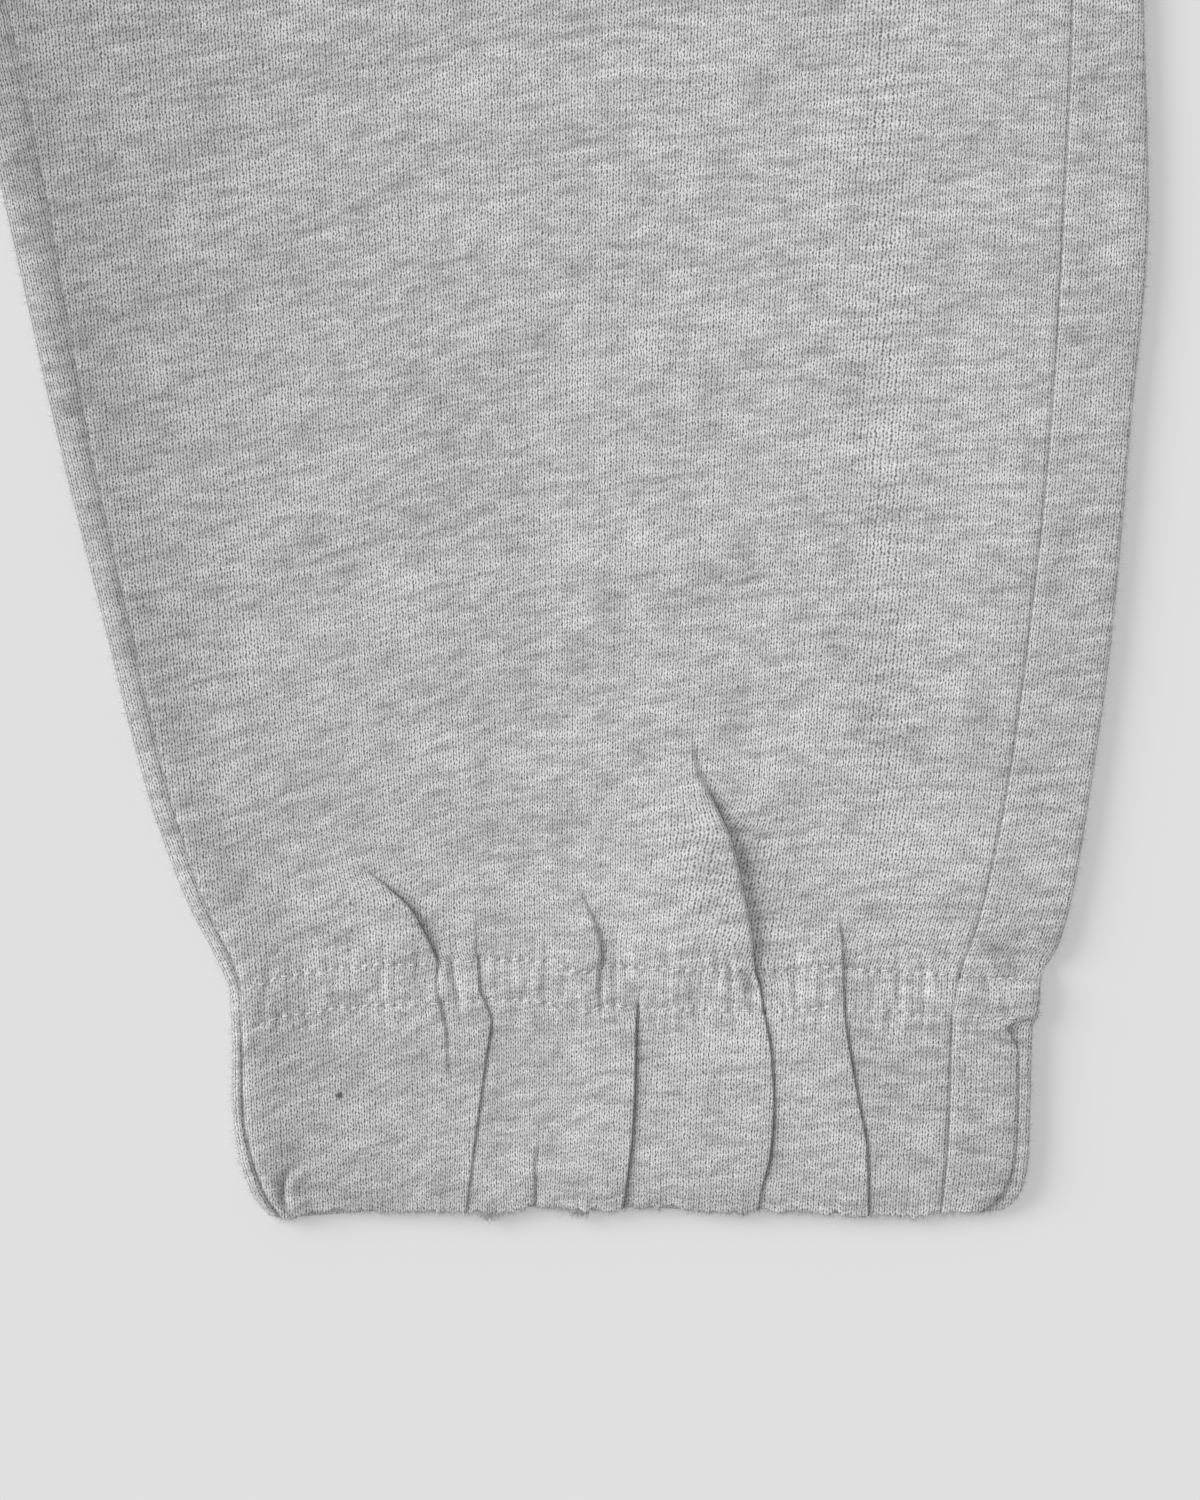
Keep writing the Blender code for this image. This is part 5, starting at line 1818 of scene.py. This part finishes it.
@dataclass(frozen=True)
class HeatherJersey(Finish):
    """Sweatshirt jersey knitted from heather yarn, in which dark and light fibres are spun together.

    It is matt and slightly fuzzy. The eye sees upright wales of small V-shaped stitches with pits between
    them, whose shade is painted in as a dark colour, and short streaks along the courses where the yarn has
    more dark or more pale fibre.

    Attributes:
        wale: width of a column of stitches, in millimetres.
        course: height of a row of stitches.
        dark: the yarn's colour where it has the most dark fibre.
        light: its colour where it has the least.
        pit: painted shade, the dark colour deep between the stitches.
        darker_tint: the colour multiplied into the yarn where its darker tint's share is high.
        knot: the colour of the small dark knots in the yarn.
        knots: the knots, as (x, y, radius) in the garment's frame, in metres.
    """

    name: str = "heather_jersey"
    wale: float = 0.94
    course: float = 0.74
    dark: str = "#949494"
    light: str = "#fafafa"
    # Painted shade, mixed in deep in the pits between the stitches
    pit: str = "#7c7c7c"
    # A darker tint, multiplied into the yarn by a per-point share
    darker_tint: str = "#e0e0e0"
    knot: str = "#303030"
    roughness: float = 0.9
    relief: float = 0.13
    knots: tuple[tuple[float, float, float], ...] = ()

    def arithmetic(
        self, tree: bpy.types.NodeTree, known: dict[str, Any], steps: Sequence[tuple[Any, ...]]
    ) -> None:
        """Adds a chain of sums.

        Args:
            tree: the material's tree.
            known: the outputs so far by name; each step's result is added to it.
            steps: rows of (result, operation, operand, ...); an operand is a number or a name in known.
        """
        for result, operation, *operands in steps:
            values = {i: v for i, v in enumerate(operands) if not isinstance(v, str)}
            links = {i: known[v] for i, v in enumerate(operands) if isinstance(v, str)}
            node = add_node(tree, "ShaderNodeMath", {"operation": operation, **values}, links)
            known[result] = node.outputs[0]

    def noise(
        self, tree: bpy.types.NodeTree, known: dict[str, Any], scale: tuple[float, float], detail: float,
        rough: float,
    ) -> bpy.types.Node:
        """Adds a smooth noise over the cloth.

        Args:
            tree: the material's tree.
            known: the outputs so far by name.
            scale: its scale across and along, for each millimetre.
            detail: how many finer layers it has.
            rough: how strong those are.

        Returns:
            The noise's node.
        """
        stretch = {"operation": "MULTIPLY", 1: (*scale, 1.0)}
        moved = add_node(tree, "ShaderNodeVectorMath", stretch, {0: known["place"]}).outputs[0]
        settings = {"noise_dimensions": "2D", "Scale": 1.0, "Detail": detail, "Roughness": rough}
        return add_node(tree, "ShaderNodeTexNoise", settings, {"Vector": moved})

    def each(self, tree: bpy.types.NodeTree, known: dict[str, Any], column: str, row: str) -> Any:
        """Adds an even random number for each cell.

        Args:
            tree: the material's tree.
            known: the outputs so far by name.
            column: the name of the cell's first whole number.
            row: the name of its second.

        Returns:
            The number's output.
        """
        cell = add_node(tree, "ShaderNodeCombineXYZ", {}, {"X": known[column], "Y": known[row]}).outputs[0]
        flat = {"noise_dimensions": "2D"}
        return add_node(tree, "ShaderNodeTexWhiteNoise", flat, {"Vector": cell}).outputs["Value"]

    def stitches(self, tree: bpy.types.NodeTree, known: dict[str, Any]) -> None:
        """Adds the knitted stitches: how deep each point lies in a pit, and a random number for each.

        Args:
            tree: the material's tree.
            known: the outputs so far by name; the results are added to it.
        """
        waver = self.noise(tree, known, (1.0, 1.0), 2.0, 0.6).outputs["Color"]
        split = add_node(tree, "ShaderNodeSeparateColor", {}, {"Color": waver})
        known["waver_u"], known["waver_v"], _ = split.outputs
        self.arithmetic(tree, known, (
            ("wales", "DIVIDE", "u", self.wale),
            ("wales", "MULTIPLY_ADD", "waver_u", 0.6, "wales"),
            ("courses", "DIVIDE", "v", self.course),
            ("courses", "MULTIPLY_ADD", "waver_v", 1.5, "courses"),
            ("in_wale", "FRACT", "wales"),
            ("from_middle", "SUBTRACT", "in_wale", 0.5),
            ("aside", "ABSOLUTE", "from_middle"),
            ("turn", "MULTIPLY", "aside", 2.0 * math.pi),
            ("leg", "SINE", "turn"),
            ("along", "MULTIPLY_ADD", "aside", -0.85, "courses"),
            ("wave", "MULTIPLY", "along", 2.0 * math.pi),
            ("wave", "COSINE", "wave"),
            ("crossing", "MULTIPLY_ADD", "wave", -0.5, 0.5),
            ("halves", "MULTIPLY", "wales", 2.0),
            ("leg_column", "FLOOR", "halves"),
            ("pit_column", "ROUND", "halves"),
            ("pit_row", "FLOOR", "along"),
            ("leg_row", "ROUND", "along"),
        ))
        known["pit_size"] = self.each(tree, known, "pit_column", "pit_row")
        known["leg_tone"] = self.each(tree, known, "leg_column", "leg_row")
        # How deep each point lies in a pit: it dents the bump and, as painted shade, darkens the colour
        self.arithmetic(tree, known, (
            ("gap", "SUBTRACT", 1.0, "leg"),
            ("gap_share", "MULTIPLY_ADD", "aside", 1.1, 0.85),
            ("gap", "MULTIPLY", "gap", "gap_share"),
            ("dash", "MULTIPLY_ADD", "crossing", 0.82, 0.23),
            ("pit_share", "MULTIPLY_ADD", "pit_size", 0.6, 0.92),
            ("pit", "MULTIPLY", "gap", "dash"),
            ("pit", "MULTIPLY", "pit", "pit_share"),
        ))

    def heather(self, tree: bpy.types.NodeTree, known: dict[str, Any]) -> None:
        """Adds the yarn's tone: streaks along the courses, clouds, single stitches and single fibres.

        Args:
            tree: the material's tree.
            known: the outputs so far by name; the results are added to it.
        """
        known["streak"] = self.noise(tree, known, (0.18, 0.66), 3.0, 0.6).outputs["Fac"]
        known["cloud"] = self.noise(tree, known, (0.035, 0.09), 1.0, 0.5).outputs["Fac"]
        known["fibre"] = self.noise(tree, known, (4.0, 5.0), 1.0, 0.6).outputs["Fac"]
        self.arithmetic(tree, known, (
            ("tone", "MULTIPLY_ADD", "streak", 1.25, -0.715),
            ("tone", "MULTIPLY_ADD", "cloud", 0.35, "tone"),
            ("tone", "MULTIPLY_ADD", "leg_tone", 0.16, "tone"),
            ("tone", "MULTIPLY_ADD", "fibre", 1.0, "tone"),
            ("surface", "MULTIPLY_ADD", "fibre", 0.25, 0.5),
            ("surface", "SUBTRACT", "surface", "pit"),
        ))

    def look(self, tree: bpy.types.NodeTree) -> tuple[dict[str, Any], dict[str, Any]]:
        """Knits the cloth from its place on the cut piece.

        Args:
            tree: the material's tree.

        Returns:
            The shader's settings, and the outputs that feed it.
        """
        cut = add_node(tree, "ShaderNodeUVMap", {"uv_map": "cut"}).outputs[0]
        scale = {"operation": "SCALE", "Scale": 1.0 / MM}
        place = add_node(tree, "ShaderNodeVectorMath", scale, {0: cut}).outputs[0]
        axes = add_node(tree, "ShaderNodeSeparateXYZ", {}, {0: place})
        pull = add_node(tree, "ShaderNodeAttribute", {"attribute_name": "pull"}).outputs["Fac"]
        known = {"place": place, "u": axes.outputs["X"], "v": axes.outputs["Y"]}
        self.stitches(tree, known)
        self.heather(tree, known)
        tints = {"data_type": "RGBA", 6: srgb(self.dark), 7: srgb(self.light)}
        colour = add_node(tree, "ShaderNodeMix", tints, {0: known["tone"]}).outputs[2]
        # Painted shade mixed in at the pits, then the darker tint multiplied in by its share
        for share, tint, blend in ((known["pit"], self.pit, "MIX"), (pull, self.darker_tint, "MULTIPLY")):
            tints = {"data_type": "RGBA", "blend_type": blend, 7: srgb(tint)}
            colour = add_node(tree, "ShaderNodeMix", tints, {0: share, 6: colour}).outputs[2]
        relief = {"Strength": 0.6, "Distance": self.relief * MM}
        bump = add_node(tree, "ShaderNodeBump", relief, {"Height": known["surface"]}).outputs[0]
        settings = {
            "Roughness": self.roughness, "Specular IOR Level": 0.1, "Sheen Weight": 0.35,
            "Sheen Roughness": 0.5,
        }
        return settings, {"Base Color": self.knotted(tree, colour), "Normal": bump}

    def knotted(self, tree: bpy.types.NodeTree, colour: Any) -> Any:
        """Adds the small dark knots of fibre to a colour.

        Args:
            tree: the material's tree.
            colour: the colour's output.

        Returns:
            The result's output.
        """
        for x, y, radius in self.knots:
            here = add_node(tree, "ShaderNodeTexCoord").outputs["Object"]
            level = {"operation": "MULTIPLY", 1: (1.0, 1.0, 0.0)}
            flat = add_node(tree, "ShaderNodeVectorMath", level, {0: here}).outputs[0]
            measured = {"operation": "DISTANCE", 1: (x, y, 0.0)}
            away = add_node(tree, "ShaderNodeVectorMath", measured, {0: flat}).outputs["Value"]
            fading = {"From Min": radius, "From Max": radius * 0.4, "To Max": 0.8}
            share = add_node(tree, "ShaderNodeMapRange", fading, {"Value": away}).outputs[0]
            tints = {"data_type": "RGBA", 7: srgb(self.knot)}
            colour = add_node(tree, "ShaderNodeMix", tints, {0: share, 6: colour}).outputs[2]
        return colour


@dataclass(frozen=True)
class SewingThread(Finish):
    """Spun polyester sewing thread, a little paler than the cloth, with a soft gloss and a fine twist."""

    name: str = "spun_polyester_thread"
    colour: str = "#e2e2e2"
    twist: float = 0.35  # millimetres from one turn of the twist to the next

    def look(self, tree: bpy.types.NodeTree) -> tuple[dict[str, Any], dict[str, Any]]:
        """Winds the thread's twist round each stitch.

        Args:
            tree: the material's tree.

        Returns:
            The shader's settings, and the outputs that feed it.
        """
        cut = add_node(tree, "ShaderNodeUVMap", {"uv_map": "cut"}).outputs[0]
        bands = {"wave_type": "BANDS", "bands_direction": "DIAGONAL", "Scale": 0.3 / (self.twist * MM)}
        bands["Distortion"] = 0.4
        wave = add_node(tree, "ShaderNodeTexWave", bands, {"Vector": cut}).outputs["Fac"]
        relief = {"Strength": 0.5, "Distance": 0.05 * MM}
        bump = add_node(tree, "ShaderNodeBump", relief, {"Height": wave}).outputs[0]
        gloss = {"Roughness": 0.6, "Specular IOR Level": 0.4}
        return {"Base Color": srgb(self.colour), **gloss}, {"Normal": bump}


@dataclass(frozen=True)
class CottonFibre(Finish):
    """Single cotton fibres, so thin that they look pale and let light through."""

    name: str = "cotton_fibre"
    colour: str = "#f4f4f4"
    clear: float = 0.3  # how much light passes through

    def look(self, tree: bpy.types.NodeTree) -> tuple[dict[str, Any], dict[str, Any]]:
        """Returns the shader's settings, which nothing feeds."""
        gloss = {"Roughness": 0.7, "Specular IOR Level": 0.3}
        return {"Base Color": srgb(self.colour), "Transmission Weight": self.clear, **gloss}, {}


@dataclass(frozen=True)
class LightPanel(Finish):
    """White acrylic panel under the garment, faintly lit from below, so that shadows on it stay pale."""

    name: str = "opal_acrylic_panel"
    colour: str = "#c6c6c6"
    glow: float = 0.26

    def look(self, tree: bpy.types.NodeTree) -> tuple[dict[str, Any], dict[str, Any]]:
        """Returns the shader's settings, which nothing feeds."""
        glow = {"Emission Color": (1.0, 1.0, 1.0, 1.0), "Emission Strength": self.glow}
        return {"Base Color": srgb(self.colour), "Roughness": 0.85, "Specular IOR Level": 0.1, **glow}, {}


@dataclass
class Studio:
    """A pale table, soft studio light and the camera straight above one lower leg."""

    aim_across: float = 214.2
    aim_rise: float = 76.4
    frame_height: float = 247.5  # what the picture's long side covers
    camera_height: float = 900.0
    sensor: float = 36.0
    table_half: float = 20.0  # in metres
    fill: float = 0.52  # brightness of the light from all round
    key: float = 2.0
    key_direction: tuple[float, float, float] = (-0.74, 0.26, 0.5)  # from the garment towards the lamp
    key_spread: float = 40.0  # degrees that the lamp looks wide

    def build(self) -> None:
        """Builds the table, the lights and the camera."""
        corners = np.array([(-1.0, -1.0, 0.0), (1.0, -1.0, 0.0), (1.0, 1.0, 0.0), (-1.0, 1.0, 0.0)])
        table = make_object("table", corners * self.table_half, [(0, 1, 2, 3)], LightPanel().material())
        table.location.z = -0.1 * MM
        self.lights()
        self.camera()

    def lights(self) -> None:
        """Adds an even light from all round and one broad lamp."""
        world = bpy.data.worlds.new("studio")
        world.use_nodes = True
        background = world.node_tree.nodes["Background"]
        background.inputs["Color"].default_value = (1.0, 1.0, 1.0, 1.0)
        background.inputs["Strength"].default_value = self.fill
        bpy.context.scene.world = world
        lamp = bpy.data.lights.new("softbox", "SUN")
        lamp.energy = self.key
        lamp.angle = math.radians(self.key_spread)
        holder = bpy.data.objects.new("softbox", lamp)
        x, y, z = self.key_direction
        holder.rotation_euler = (math.atan2(math.hypot(x, y), z), 0.0, math.atan2(y, x) + math.pi / 2)
        bpy.context.scene.collection.objects.link(holder)

    def camera(self) -> None:
        """Adds the camera."""
        data = bpy.data.cameras.new("camera")
        data.sensor_width = data.sensor_height = self.sensor
        data.lens = self.sensor * self.camera_height / self.frame_height
        holder = bpy.data.objects.new("camera", data)
        place = np.array([self.aim_across, self.aim_rise - MIDDLE_RISE, self.camera_height + stacked(0.0)])
        holder.location = (place * MM).tolist()
        bpy.context.scene.collection.objects.link(holder)
        bpy.context.scene.camera = holder
        bpy.context.scene.view_settings.view_transform = "Standard"


def dress(thing: bpy.types.Object, node: str | None) -> None:
    """Makes a piece ride on the garment's one body, and stand for its solid where it has one.

    Args:
        thing: the piece.
        node: the solid's name.
    """
    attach(thing, "root")
    if node:
        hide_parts(node)
    log.info("%s: %d faces", thing.name, len(thing.data.polygons))


def main() -> None:
    """Builds the garment and its studio."""
    logging.basicConfig(level=logging.INFO, format="%(message)s")
    speck = (171.3 * MM, (19.5 - MIDDLE_RISE) * MM, 0.75 * MM)
    jersey = HeatherJersey(knots=(speck,)).material()
    thread = SewingThread().material()
    fibre = CottonFibre().material()
    yarn = CottonFibre("loose_heather_yarn", "#cacaca", 0.0).material()
    left_curls, right_curls = [Curl(165.7, 4.2, 3.9, 92, 1.5, 0.58)], [Curl(270.4, 5.0, 3.0, 90, 0.8, 0.4)]
    legs = (
        LegForm("left", 1.0, 11, LEFT_PLEATS, LEFT_GATHERS, LEFT_RIPPLES, LEFT_DETAILS, left_curls),
        LegForm("right", -1.0, 31, RIGHT_PLEATS, RIGHT_GATHERS, RIGHT_RIPPLES, RIGHT_DETAILS, right_curls),
    )
    for leg in legs:
        front, back = FrontPanel(leg), BackPanel(leg)
        stitches = casing_stitches(leg, back).build(thread)
        dress(stitches, None)
        back_cloth = back.build(jersey)
        dress(back_cloth, f"back_{leg.name}")
        front_cloth = front.build(jersey)
        dress(front_cloth, f"front_{leg.name}")
        loose = Fuzz(leg).build(fibre, yarn)
        for piece in loose:
            dress(piece, None)
    band = Waistband()
    band_stitches = band.stitches().build(thread)
    dress(band_stitches, None)
    band_cloth = band.build(jersey)
    dress(band_cloth, "waistband")
    Studio().build()


if __name__ == "__main__":
    main()
